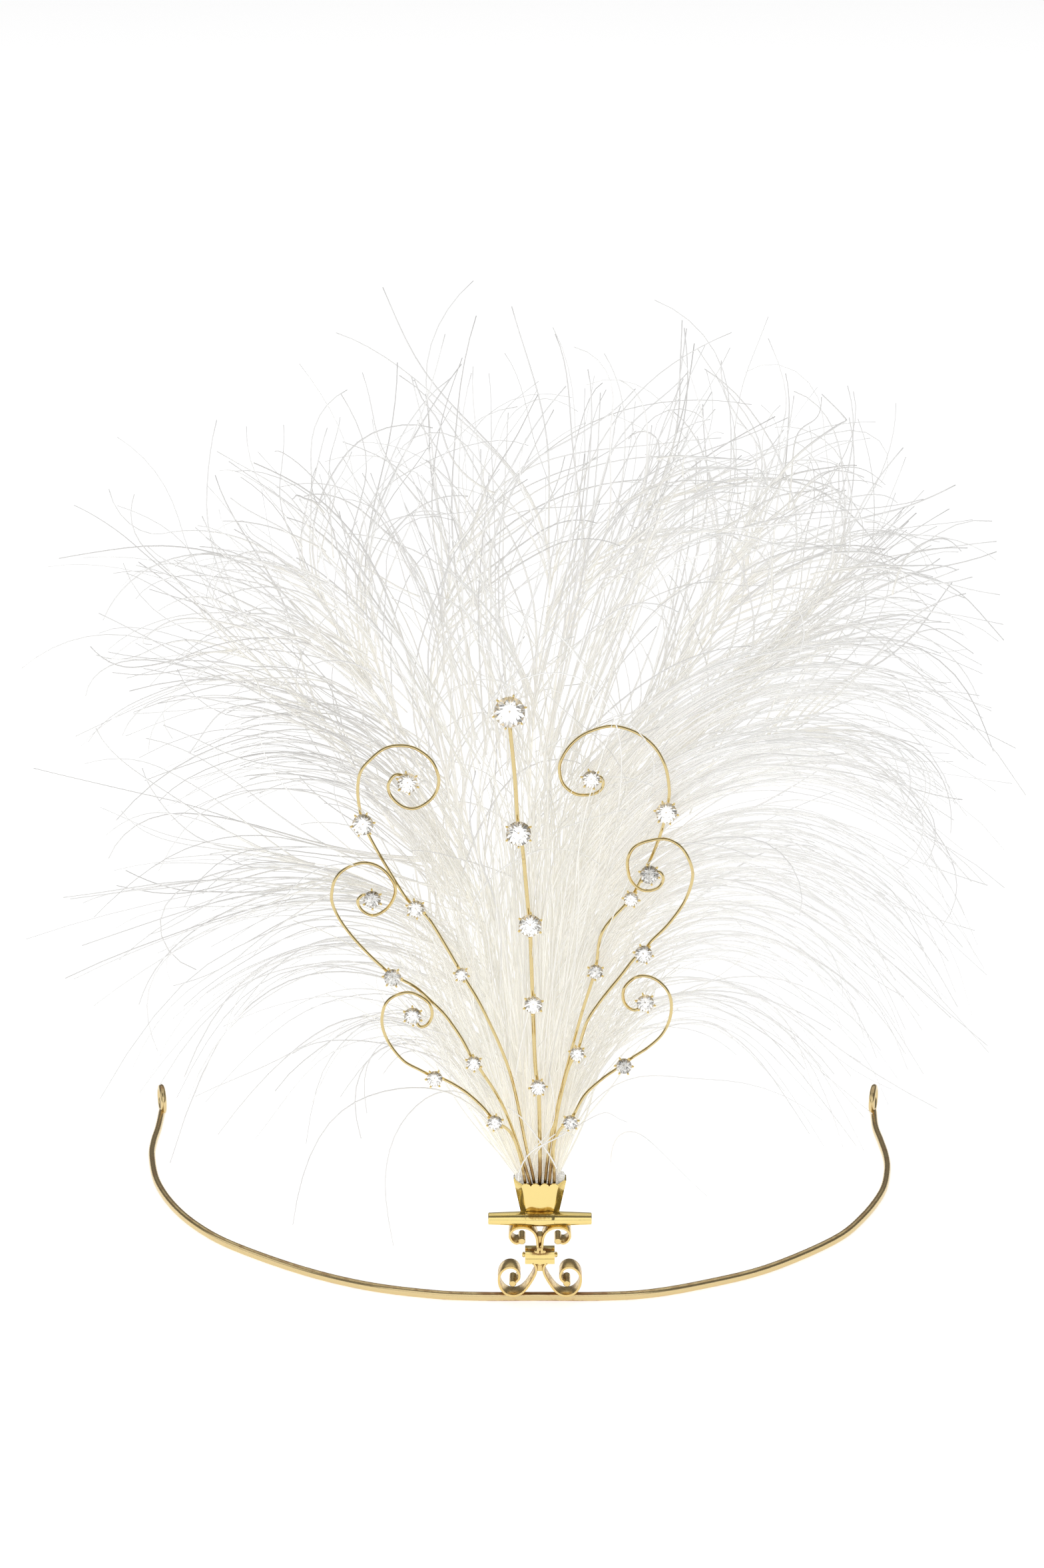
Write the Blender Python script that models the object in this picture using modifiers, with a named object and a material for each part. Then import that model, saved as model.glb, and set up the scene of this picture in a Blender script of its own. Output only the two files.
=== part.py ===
"""Aigrette on a wire headband, for Blender 4.5: diamond sprays and a plume that fold back on a small hinge.

Lengths are in metres. X runs to the right, Y away from the front and Z up. The origin lies under the
middle of the front of the band, on its flat underside.
"""
import math

import bmesh
import bpy
from mathutils import Matrix, Vector

MM = 0.001

# Headband: a flattened wire bent to an open U, with an eye standing on each end
BAND_WIDTH = 1.35 * MM
BAND_HEIGHT = 1.75 * MM
BAND_HALF_SPAN = 75.0 * MM
BAND_DEPTH = 78.5 * MM
EYE_RADIUS = 2.5 * MM
EYE_WIRE = 1.3 * MM
EYE_TURN = math.radians(12)

# Scrolls: flat strip with a round bar in each curl
SCROLL_DEPTH = 3.4 * MM
STRIP = 0.45 * MM
BAR_RADIUS = 0.68 * MM
LOWER_SCROLL_HEIGHT = 7.0 * MM
LOWER_SCROLL_HALF_WIDTH = 8.0 * MM
UPPER_SCROLL_HEIGHT = 4.9 * MM
UPPER_SCROLL_HALF_WIDTH = 5.9 * MM

# Hinge: a leaf with one knuckle, and a block that closes over the knuckle
HINGE_WIDTH = 5.6 * MM
LEAF_THICKNESS = 1.05 * MM
SEAM = 0.08 * MM
PIN_RADIUS = 0.36 * MM
PIN_CLEARANCE = 0.06 * MM
PIN_SETBACK = 1.2 * MM
PIN_HEAD = 0.52 * MM
PIN_HEAD_RADIUS = 0.55 * MM
BARREL_WALL = 0.48 * MM
BLOCK_TOP = 1.45 * MM
KNUCKLE_WIDTH = 1.6 * MM
TURN_CLEARANCE = 0.08 * MM

# Cross tube
TUBE_LENGTH = 19.5 * MM
TUBE_RADIUS = 1.48 * MM
TUBE_END_RADIUS = 1.15 * MM
TUBE_SLEEVE = 5.5 * MM
TUBE_STEP = 0.05 * MM

# Cup: an eight-sided sheet cup with a scalloped front
CUP_HEIGHT = 7.0 * MM
CUP_RIM_WIDTH = 9.9 * MM
CUP_RIM_DEPTH = 5.2 * MM
CUP_BASE_WIDTH = 7.2 * MM
CUP_BASE_DEPTH = 2.6 * MM
CUP_SETBACK = 1.0 * MM
CUP_WALL = 0.4 * MM
CUP_FLOOR = 1.6 * MM
CUP_FRONT = 0.7
CUP_SIDE = 0.46
SCALLOPS = 4
SCALLOP_DEPTH = 0.8 * MM

# Sprays: wires with claw-set stones
SPRAY_HEIGHT = 100.0 * MM
SPRAY_LAYER = 1.0 * MM
WIRE_RADIUS = 0.29 * MM
STEM_RADIUS = 0.36 * MM
SOCKET_GAP = 0.1 * MM
STONE_GAP = 0.07 * MM
STONE_TILT = math.radians(15)
CLAW_RADIUS = 0.17 * MM
CLAWS = 6

# Plume
PLUME_HEIGHT = 170.0 * MM
PLUME_DEPTH = 30.0 * MM
LOCK_WIDTH = 8.5 * MM
LOCK_THICKNESS = 1.5 * MM
PLUME_GAP = 0.3 * MM

# Outline of each half of the band from the front to the eye: shares of BAND_HALF_SPAN and BAND_DEPTH
BAND_LEFT = [
    (0.00, 0.000), (-0.15, 0.000), (-0.27, 0.010), (-0.44, 0.052), (-0.61, 0.132),
    (-0.79, 0.255), (-0.89, 0.355), (-0.965, 0.470), (-1.018, 0.600), (-1.043, 0.735),
    (-1.046, 0.820), (-1.040, 0.910), (-1.038, 1.000),
]
BAND_RIGHT = [
    (0.15, 0.000), (0.27, 0.012), (0.405, 0.055), (0.58, 0.137), (0.76, 0.282),
    (0.845, 0.400), (0.909, 0.540), (0.933, 0.655), (0.937, 0.740), (0.930, 0.830),
    (0.922, 0.910), (0.924, 1.000),
]

# Centre lines of the right-hand scrolls: shares of the scroll's half width and height
LOWER_SCROLL = [
    (0.17, 1.02), (0.105, 0.93), (0.085, 0.82), (0.115, 0.66), (0.22, 0.42), (0.36, 0.18),
    (0.50, 0.055), (0.65, 0.025), (0.81, 0.09), (0.93, 0.27), (0.97, 0.51), (0.92, 0.72),
    (0.81, 0.85), (0.675, 0.885), (0.555, 0.82), (0.49, 0.68), (0.495, 0.54), (0.565, 0.44),
]
LOWER_BAR = (0.64, 0.40)
UPPER_SCROLL = [
    (0.06, -0.12), (0.07, 0.10), (0.085, 0.34), (0.115, 0.57), (0.21, 0.79), (0.39, 0.94),
    (0.59, 0.975), (0.78, 0.93), (0.925, 0.78), (0.96, 0.58), (0.885, 0.39), (0.765, 0.30),
    (0.66, 0.32),
]
UPPER_BAR = (0.575, 0.40)

# Sprays. root: share of the cup's inner half width. layers: how far the wire comes forward, in layers.
# path: shares of SPRAY_HEIGHT, across and above the rim. stones: (index along path, radius).
SPRAYS = {
    "spray_centre": {
        "root": -0.02, "forward": 0.5, "wire": STEM_RADIUS,
        "path": [
            (0.000, 0.041), (-0.002, 0.168), (-0.004, 0.203), (-0.009, 0.242), (-0.013, 0.340),
            (-0.013, 0.372), (-0.015, 0.406), (-0.018, 0.498), (-0.019, 0.532), (-0.023, 0.568),
            (-0.033, 0.683), (-0.040, 0.714), (-0.047, 0.823), (-0.055, 0.912), (-0.056, 0.950),
        ],
        "stones": [(2, 1.50), (5, 1.70), (8, 2.15), (11, 2.35), (14, 2.90)],
    },
    "spray_left_top": {
        "root": -0.36, "forward": 0.0, "wire": WIRE_RADIUS,
        "path": [
            (-0.026, 0.074), (-0.056, 0.227), (-0.104, 0.352), (-0.145, 0.430), (-0.201, 0.534),
            (-0.228, 0.562), (-0.249, 0.586), (-0.297, 0.674), (-0.322, 0.729), (-0.329, 0.764),
            (-0.331, 0.796), (-0.326, 0.827), (-0.311, 0.849), (-0.282, 0.874), (-0.253, 0.880),
            (-0.225, 0.874), (-0.198, 0.852), (-0.185, 0.821), (-0.187, 0.795), (-0.201, 0.773),
            (-0.226, 0.758), (-0.249, 0.761), (-0.269, 0.779), (-0.276, 0.801), (-0.266, 0.821),
            (-0.252, 0.823), (-0.240, 0.810),
        ],
        "stones": [(3, 1.25), (5, 1.65), (8, 2.00), (26, 1.90)],
    },
    "spray_right_top": {
        "root": 0.31, "forward": 0.0, "wire": WIRE_RADIUS,
        "path": [
            (0.021, 0.100), (0.048, 0.230), (0.077, 0.350), (0.101, 0.436), (0.114, 0.514),
            (0.165, 0.581), (0.198, 0.652), (0.220, 0.714), (0.227, 0.752), (0.232, 0.776),
            (0.232, 0.801), (0.225, 0.839), (0.206, 0.876), (0.177, 0.902), (0.142, 0.916),
            (0.114, 0.916), (0.078, 0.902), (0.053, 0.880), (0.037, 0.852), (0.034, 0.830),
            (0.041, 0.805), (0.061, 0.787), (0.084, 0.784), (0.104, 0.790), (0.113, 0.804),
            (0.108, 0.819), (0.091, 0.817),
        ],
        "stones": [(3, 1.40), (5, 1.40), (8, 2.00), (26, 1.65)],
    },
    "spray_left_middle": {
        "root": -0.60, "forward": 2.5, "wire": WIRE_RADIUS,
        "path": [
            (-0.065, 0.152), (-0.110, 0.240), (-0.123, 0.262), (-0.146, 0.310), (-0.175, 0.356),
            (-0.202, 0.386), (-0.228, 0.412), (-0.254, 0.428), (-0.271, 0.436), (-0.287, 0.451),
            (-0.315, 0.480), (-0.345, 0.516), (-0.368, 0.552), (-0.380, 0.584), (-0.379, 0.609),
            (-0.373, 0.629), (-0.358, 0.647), (-0.331, 0.660), (-0.305, 0.659), (-0.282, 0.644),
            (-0.265, 0.615), (-0.268, 0.590), (-0.283, 0.568), (-0.306, 0.557), (-0.326, 0.568),
            (-0.333, 0.586), (-0.322, 0.598), (-0.306, 0.592),
        ],
        "stones": [(2, 1.40), (8, 1.65), (27, 1.65)],
    },
    "spray_right_middle": {
        "root": 0.55, "forward": 2.5, "wire": WIRE_RADIUS,
        "path": [
            (0.031, 0.138), (0.051, 0.240), (0.068, 0.281), (0.086, 0.343), (0.111, 0.386),
            (0.146, 0.434), (0.172, 0.471), (0.188, 0.483), (0.203, 0.506), (0.233, 0.539),
            (0.262, 0.584), (0.276, 0.629), (0.272, 0.660), (0.257, 0.689), (0.236, 0.705),
            (0.215, 0.708), (0.185, 0.701), (0.167, 0.689), (0.158, 0.667), (0.159, 0.644),
            (0.165, 0.625), (0.180, 0.610), (0.197, 0.606), (0.215, 0.613), (0.223, 0.629),
            (0.216, 0.643), (0.197, 0.641),
        ],
        "stones": [(2, 1.40), (7, 1.65), (26, 1.75)],
    },
    "spray_left_low": {
        "root": -0.88, "forward": 4.1, "wire": WIRE_RADIUS,
        "path": [
            (-0.039, 0.066), (-0.056, 0.118), (-0.084, 0.148), (-0.110, 0.180), (-0.140, 0.209),
            (-0.175, 0.232), (-0.195, 0.238), (-0.223, 0.253), (-0.253, 0.272), (-0.279, 0.308),
            (-0.291, 0.345), (-0.287, 0.380), (-0.272, 0.400), (-0.245, 0.410), (-0.222, 0.403),
            (-0.204, 0.387), (-0.199, 0.364), (-0.208, 0.345), (-0.223, 0.342), (-0.234, 0.366),
        ],
        "stones": [(2, 1.40), (6, 1.50), (19, 1.65)],
    },
    "spray_right_low": {
        "root": 0.84, "forward": 4.1, "wire": WIRE_RADIUS,
        "path": [
            (0.025, 0.079), (0.037, 0.123), (0.056, 0.148), (0.081, 0.199), (0.112, 0.232),
            (0.141, 0.255), (0.154, 0.264), (0.170, 0.278), (0.199, 0.299), (0.224, 0.325),
            (0.238, 0.357), (0.240, 0.391), (0.231, 0.416), (0.213, 0.435), (0.193, 0.443),
            (0.172, 0.439), (0.154, 0.419), (0.152, 0.396), (0.161, 0.380), (0.176, 0.375),
            (0.192, 0.392),
        ],
        "stones": [(2, 1.40), (6, 1.50), (20, 1.65)],
    },
}

# Locks of the plume, each from the core to its tip: shares of PLUME_HEIGHT across and above the rim,
# then of PLUME_DEPTH behind the wires, and a share of LOCK_WIDTH
LOCKS = [
    ([(-0.014, 0.200, 0.056), (-0.13, 0.37, 0.14), (-0.24, 0.56, 0.20), (-0.36, 0.68, 0.26),
      (-0.44, 0.72, 0.30), (-0.515, 0.735, 0.34)], 1.5),
    ([(-0.011, 0.185, 0.074), (-0.13, 0.46, 0.30), (-0.21, 0.62, 0.45), (-0.28, 0.74, 0.55),
      (-0.335, 0.85, 0.62)], 1.4),
    ([(-0.008, 0.192, 0.047), (-0.10, 0.42, 0.18), (-0.17, 0.60, 0.22), (-0.22, 0.73, 0.26),
      (-0.225, 0.86, 0.30)], 1.3),
    ([(-0.005, 0.204, 0.083), (-0.08, 0.42, 0.40), (-0.12, 0.60, 0.60), (-0.08, 0.78, 0.70),
      (-0.035, 0.985, 0.78)], 1.3),
    ([(-0.002, 0.208, 0.052), (-0.01, 0.45, 0.18), (0.00, 0.70, 0.22), (0.025, 0.86, 0.24),
      (0.032, 1.00, 0.26)], 1.3),
    ([(0.002, 0.196, 0.087), (0.03, 0.50, 0.36), (0.06, 0.78, 0.55), (0.12, 0.88, 0.62),
      (0.195, 0.91, 0.66)], 1.3),
    ([(0.005, 0.182, 0.043), (0.08, 0.40, 0.16), (0.19, 0.62, 0.20), (0.26, 0.76, 0.22),
      (0.28, 0.91, 0.24)], 1.6),
    ([(0.008, 0.189, 0.079), (0.09, 0.38, 0.34), (0.24, 0.62, 0.50), (0.36, 0.76, 0.60),
      (0.44, 0.85, 0.66)], 1.8),
    ([(0.011, 0.166, 0.035), (0.11, 0.40, 0.12), (0.28, 0.60, 0.15), (0.41, 0.70, 0.18),
      (0.50, 0.745, 0.20)], 2.1),
    ([(0.014, 0.172, 0.068), (0.12, 0.38, 0.22), (0.29, 0.52, 0.32), (0.42, 0.54, 0.38),
      (0.505, 0.46, 0.42)], 2.2),
    ([(0.012, 0.148, 0.048), (0.13, 0.32, 0.14), (0.27, 0.41, 0.18), (0.39, 0.36, 0.20),
      (0.47, 0.22, 0.22)], 2.1),
    ([(0.009, 0.136, 0.076), (0.12, 0.26, 0.34), (0.22, 0.31, 0.46), (0.32, 0.25, 0.54),
      (0.39, 0.12, 0.60)], 1.6),
    ([(-0.013, 0.158, 0.064), (-0.14, 0.36, 0.20), (-0.28, 0.50, 0.30), (-0.41, 0.50, 0.38),
      (-0.50, 0.40, 0.44)], 1.7),
    ([(-0.010, 0.143, 0.041), (-0.15, 0.32, 0.14), (-0.29, 0.40, 0.18), (-0.41, 0.35, 0.20),
      (-0.49, 0.24, 0.22)], 1.7),
    ([(-0.006, 0.133, 0.071), (-0.11, 0.23, 0.32), (-0.21, 0.27, 0.42), (-0.31, 0.21, 0.50),
      (-0.38, 0.09, 0.56)], 1.4),
]

# Heights and depths that follow from the sizes above
FRONT = -SCROLL_DEPTH / 2
BAND_BITE = 0.06 * MM
SCROLL_FOOT = BAND_HEIGHT - BAND_BITE
LEAF_BOTTOM = SCROLL_FOOT + LOWER_SCROLL_HEIGHT
LEAF_TOP = LEAF_BOTTOM + LEAF_THICKNESS
BORE_RADIUS = PIN_RADIUS + PIN_CLEARANCE
BARREL_RADIUS = BORE_RADIUS + BARREL_WALL
PIN_Y = FRONT + PIN_SETBACK
PIN_Z = LEAF_TOP + SEAM + 0.3 * BARREL_RADIUS
BLOCK_REAR = PIN_Y + BARREL_RADIUS
BLOCK_TOP_Z = PIN_Z + BLOCK_TOP
SCROLL_TOP = BLOCK_TOP_Z + UPPER_SCROLL_HEIGHT
TUBE_Z = SCROLL_TOP + TUBE_RADIUS - STRIP
CUP_BASE_Z = TUBE_Z + 0.75 * TUBE_RADIUS
RIM_Z = CUP_BASE_Z + CUP_HEIGHT
FLOOR_Z = CUP_BASE_Z + CUP_FLOOR
WIRE_Y = CUP_SETBACK - CUP_RIM_DEPTH / 2 + CUP_WALL + STEM_RADIUS + SOCKET_GAP
PLUME_FRONT = WIRE_Y + 2 * STEM_RADIUS + PLUME_GAP

GOLD = ((0.83, 0.62, 0.28), 0.22, 1.0)
PALE_GOLD = ((0.66, 0.53, 0.31), 0.38, 1.0)
DIAMOND = ((0.92, 0.93, 0.92), 0.03, 0.0)
EGRET = ((0.90, 0.88, 0.80), 0.75, 0.0)


def material(name, look):
    colour, roughness, metallic = look
    mat = bpy.data.materials.new(name)
    mat.use_nodes = True
    shader = mat.node_tree.nodes["Principled BSDF"]
    shader.inputs["Base Color"].default_value = (*colour, 1.0)
    shader.inputs["Roughness"].default_value = roughness
    shader.inputs["Metallic"].default_value = metallic
    mat.diffuse_color = (*colour, 1.0)
    return mat


def new_object(name, data):
    obj = bpy.data.objects.new(name, data)
    PARTS.objects.link(obj)
    return obj


def evaluated(obj):
    """Mesh copy of the object as its modifiers leave it, welded, in world space. The object is removed."""
    bpy.context.view_layer.update()
    graph = bpy.context.evaluated_depsgraph_get()
    mesh = bpy.data.meshes.new_from_object(obj.evaluated_get(graph), depsgraph=graph)
    mesh.transform(obj.matrix_world)
    bm = bmesh.new()
    bm.from_mesh(mesh)
    bmesh.ops.remove_doubles(bm, verts=bm.verts, dist=1e-6)
    bmesh.ops.recalc_face_normals(bm, faces=bm.faces)
    bm.to_mesh(mesh)
    bm.free()
    bpy.data.objects.remove(obj)
    return mesh


def boolean(mesh, others, operation="UNION"):
    """Join each of the other meshes to this one, or cut it away."""
    for other in others:
        body = new_object("body", mesh)
        tool = bpy.data.objects.new("tool", other)
        CUTTERS.objects.link(tool)
        step = body.modifiers.new("step", "BOOLEAN")
        step.operation = operation
        step.solver = "EXACT"
        step.object = tool
        mesh = evaluated(body)
        bpy.data.objects.remove(tool)
    return mesh


def smooth_path(points, share=4):
    """Smooth curve through the points."""
    points = [Vector(p) for p in points]
    ends = [points[0] * 2 - points[1], *points, points[-1] * 2 - points[-2]]
    curve = []
    for a, b, c, d in zip(ends, ends[1:], ends[2:], ends[3:]):
        for i in range(share):
            t = i / share
            curve.append(0.5 * (2 * b + (c - a) * t + (2 * a - 5 * b + 4 * c - d) * t * t
                                + (3 * b - a - 3 * c + d) * t ** 3))
    return [*curve, points[-1]]


def thinned(points, turn, step, keep=()):
    """Drop points until the path turns or runs on by the given amounts between those that are kept."""
    kept = [points[0]]
    heading = points[1] - points[0]
    for i, (here, after) in enumerate(zip(points[1:], points[2:]), 1):
        far = (here - kept[-1]).length > step
        if i in keep or far or heading.angle(after - here) > turn:
            kept.append(here)
            heading = after - here
    return [*kept, points[-1]]


def rod(points, radius, resolution=1, cyclic=False, taper=None):
    """Round wire through the points, as a mesh."""
    curve = bpy.data.curves.new("rod", "CURVE")
    curve.dimensions = "3D"
    curve.bevel_depth = radius
    curve.bevel_resolution = resolution
    curve.use_fill_caps = not cyclic
    spline = curve.splines.new("POLY")
    spline.points.add(len(points) - 1)
    for i, point in enumerate(points):
        spline.points[i].co = (*point, 1.0)
        spline.points[i].radius = taper[i] if taper else 1.0
    spline.use_cyclic_u = cyclic
    return evaluated(new_object("rod", curve))


def extruded(outline, axis, low, high):
    """Flat outline pulled along X or Y. The outline's pairs are (y, z) or (x, z)."""
    bm = bmesh.new()
    if axis == "X":
        verts = [bm.verts.new((low, a, b)) for a, b in outline]
        move = Vector((high - low, 0, 0))
    else:
        verts = [bm.verts.new((a, low, b)) for a, b in outline]
        move = Vector((0, high - low, 0))
    face = bm.faces.new(verts)
    pulled = bmesh.ops.extrude_face_region(bm, geom=[face])
    top = [v for v in pulled["geom"] if isinstance(v, bmesh.types.BMVert)]
    bmesh.ops.translate(bm, verts=top, vec=move)
    bmesh.ops.recalc_face_normals(bm, faces=bm.faces)
    mesh = bpy.data.meshes.new("extruded")
    bm.to_mesh(mesh)
    bm.free()
    return mesh


def box(low, high):
    outline = [(low[1], low[2]), (high[1], low[2]), (high[1], high[2]), (low[1], high[2])]
    return extruded(outline, "X", low[0], high[0])


def cylinder(radius, length, centre, axis="X", sides=20):
    bm = bmesh.new()
    bmesh.ops.create_cone(bm, cap_ends=True, segments=sides, radius1=radius, radius2=radius, depth=length)
    turn = Matrix.Rotation(math.pi / 2, 4, "Y" if axis == "X" else "X")
    bmesh.ops.transform(bm, matrix=Matrix.Translation(centre) @ turn, verts=bm.verts)
    mesh = bpy.data.meshes.new("cylinder")
    bm.to_mesh(mesh)
    bm.free()
    return mesh


def turned(profile, sides, place):
    """Profile of (radius, height) turned about Z with a Screw modifier, then put in its place."""
    mesh = bpy.data.meshes.new("turned")
    verts = [(r, 0, h) for r, h in profile]
    mesh.from_pydata(verts, [(i, i + 1) for i in range(len(verts) - 1)], [])
    obj = new_object("turned", mesh)
    screw = obj.modifiers.new("turn", "SCREW")
    screw.axis = "Z"
    screw.angle = 2 * math.pi
    screw.steps = screw.render_steps = sides
    screw.use_merge_vertices = True
    screw.merge_threshold = 1e-6
    obj.matrix_world = place
    return evaluated(obj)


def loft(rings):
    """Closed skin over rings of points, each ring with as many points as the last."""
    bm = bmesh.new()
    loops = [[bm.verts.new(p) for p in ring] for ring in rings]
    count = len(loops[0])
    for low, high in zip(loops, loops[1:]):
        for i in range(count):
            j = (i + 1) % count
            bm.faces.new((low[i], low[j], high[j], high[i]))
    bm.faces.new(loops[0][::-1])
    bm.faces.new(loops[-1])
    bmesh.ops.recalc_face_normals(bm, faces=bm.faces)
    mesh = bpy.data.meshes.new("loft")
    bm.to_mesh(mesh)
    bm.free()
    return mesh


def finish(name, mesh, mat, parent=None, angle=40):
    """Name the mesh, give it its material and hang it on its parent empty."""
    obj = new_object(name, mesh)
    mesh.name = name
    mesh.materials.clear()
    mesh.materials.append(mat)
    mesh.shade_smooth()
    mesh.set_sharp_from_angle(angle=math.radians(angle))
    if parent:
        obj.parent = parent
        mesh.transform(Matrix.Translation(-parent.location))
    return obj


def scroll_pair(outline, bar, half_width, height, foot, up=1):
    """Both strips of a pair of scrolls, each with its bar."""
    meshes = []
    for side in (-1, 1):
        path = [(side * a * half_width, 0, foot + up * b * height) for a, b in outline]
        path = thinned(smooth_path(path), math.radians(16), 2 * MM)
        bm = bmesh.new()
        rows = [[bm.verts.new((p.x, y, p.z)) for y in (FRONT, -FRONT)] for p in path]
        for a, b in zip(rows, rows[1:]):
            bm.faces.new((a[0], a[1], b[1], b[0]))
        mesh = bpy.data.meshes.new("strip")
        bm.to_mesh(mesh)
        bm.free()
        obj = new_object("strip", mesh)
        solid = obj.modifiers.new("sheet", "SOLIDIFY")
        solid.thickness = STRIP
        solid.offset = 0
        solid.use_even_offset = True
        meshes.append(evaluated(obj))
        centre = (side * bar[0] * half_width, 0, foot + up * bar[1] * height)
        meshes.append(cylinder(BAR_RADIUS, SCROLL_DEPTH * 1.02, centre, "Y", 10))
    return meshes


def arc(radius, start, end, steps):
    """Points (y, z) about the hinge axis; angles in degrees from +Y towards +Z."""
    points = []
    for i in range(steps + 1):
        a = math.radians(start + (end - start) * i / steps)
        points.append((PIN_Y + radius * math.cos(a), PIN_Z + radius * math.sin(a)))
    return points


def band_mesh():
    """Wire of the band, swept along its outline with a flat underside."""
    points = [(x, y) for x, y in BAND_LEFT[::-1] + BAND_RIGHT]
    path = smooth_path([(x * BAND_HALF_SPAN, y * BAND_DEPTH, 0) for x, y in points])
    path = thinned(path, math.radians(7), 14 * MM)
    section = [(-0.33, 0), (0.33, 0), (0.5, 0.22), (0.5, 0.78), (0.33, 1), (-0.33, 1), (-0.5, 0.78), (-0.5, 0.22)]
    rings = []
    for i, point in enumerate(path):
        along = path[min(i + 1, len(path) - 1)] - path[max(i - 1, 0)]
        side = Vector((along.y, -along.x, 0)).normalized()
        rings.append([point + side * a * BAND_WIDTH + Vector((0, 0, b * BAND_HEIGHT)) for a, b in section])
    return loft(rings), path[0], path[-1]


def eye(end, side):
    """Ring that stands on its edge behind an end of the band."""
    lift = EYE_RADIUS + EYE_WIRE / 2
    reach = math.sqrt(EYE_RADIUS ** 2 - (lift - BAND_HEIGHT) ** 2)
    place = Matrix.Translation(end + Vector((0, reach - BAND_WIDTH * 0.3, lift)))
    place = place @ Matrix.Rotation(side * EYE_TURN, 4, "Z")
    ring = []
    for i in range(16):
        a = 2 * math.pi * (i + 0.5) / 16
        ring.append(place @ Vector((0, EYE_RADIUS * math.cos(a), EYE_RADIUS * math.sin(a))))
    return rod(ring, EYE_WIRE / 2, 1, cyclic=True)


def build_headband(mat):
    band, left, right = band_mesh()
    leaf = [(FRONT, LEAF_BOTTOM), (FRONT, LEAF_TOP)]
    pocket = BARREL_RADIUS + TURN_CLEARANCE
    drop = PIN_Z - LEAF_TOP
    start = 180 + math.degrees(math.asin(drop / pocket))
    leaf += arc(pocket, start, 310, 8)
    rear = BLOCK_REAR - TURN_CLEARANCE
    leaf += [(rear, leaf[-1][1] - TURN_CLEARANCE), (rear, LEAF_BOTTOM)]
    pieces = [extruded(leaf, "X", -HINGE_WIDTH / 2, HINGE_WIDTH / 2)]
    pieces += scroll_pair(LOWER_SCROLL, LOWER_BAR, LOWER_SCROLL_HALF_WIDTH, LOWER_SCROLL_HEIGHT, SCROLL_FOOT)
    neck = 0.1 * LOWER_SCROLL_HALF_WIDTH
    crotch = LEAF_BOTTOM - 0.25 * LOWER_SCROLL_HEIGHT
    reach = -FRONT - 0.05 * SCROLL_DEPTH
    pieces.append(box((-neck, -reach, crotch), (neck, reach, LEAF_BOTTOM + STRIP / 2)))
    # the knuckle stands on the leaf and carries the bore for the pin
    half = KNUCKLE_WIDTH / 2
    pieces.append(cylinder(BARREL_RADIUS - TURN_CLEARANCE, KNUCKLE_WIDTH, (0, PIN_Y, PIN_Z), sides=16))
    foot = 0.5 * BARREL_RADIUS
    pieces.append(box((-half, PIN_Y - foot, LEAF_BOTTOM + STRIP), (half, PIN_Y + foot, PIN_Z)))
    mesh = boolean(band, [eye(left, 1), eye(right, -1)] + pieces)
    # room behind the leaf for the block as it folds
    rear_cut = box((-HINGE_WIDTH, BLOCK_REAR - TURN_CLEARANCE, LEAF_BOTTOM), (HINGE_WIDTH, 3 * SCROLL_DEPTH, PIN_Z))
    bore = cylinder(BORE_RADIUS, 2 * HINGE_WIDTH, (0, PIN_Y, PIN_Z), sides=14)
    mesh = boolean(mesh, [rear_cut, bore], "DIFFERENCE")
    return finish("headband", mesh, mat)


def build_pin(mat):
    shank = HINGE_WIDTH / 2 + TURN_CLEARANCE
    head = shank + PIN_HEAD
    round_edge = 0.3 * PIN_HEAD
    profile = [(0, head), (PIN_HEAD_RADIUS - round_edge, head), (PIN_HEAD_RADIUS, head - round_edge),
               (PIN_HEAD_RADIUS, shank), (PIN_RADIUS, shank)]
    profile += [(r, -h) for r, h in profile[::-1]]
    place = Matrix.Translation((0, PIN_Y, PIN_Z)) @ Matrix.Rotation(math.pi / 2, 4, "Y")
    return finish("hinge_pin", turned(profile, 12, place), mat)


def cup_ring(width, depth, z):
    """Eight corners of the cup at one height, from the front left corner round."""
    front = CUP_FRONT * width / 2
    side = CUP_SIDE * depth / 2
    half_w, half_d = width / 2, depth / 2
    right = [(front, -half_d), (half_w, -side), (half_w, side), (front, half_d)]
    return [Vector((x, CUP_SETBACK + y, z)) for x, y in right + [(-x, y) for x, y in right[::-1]]]


def cup_width(z):
    share = (z - CUP_BASE_Z) / CUP_HEIGHT
    width = CUP_BASE_WIDTH + (CUP_RIM_WIDTH - CUP_BASE_WIDTH) * share
    depth = CUP_BASE_DEPTH + (CUP_RIM_DEPTH - CUP_BASE_DEPTH) * share
    return width, depth


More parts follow.
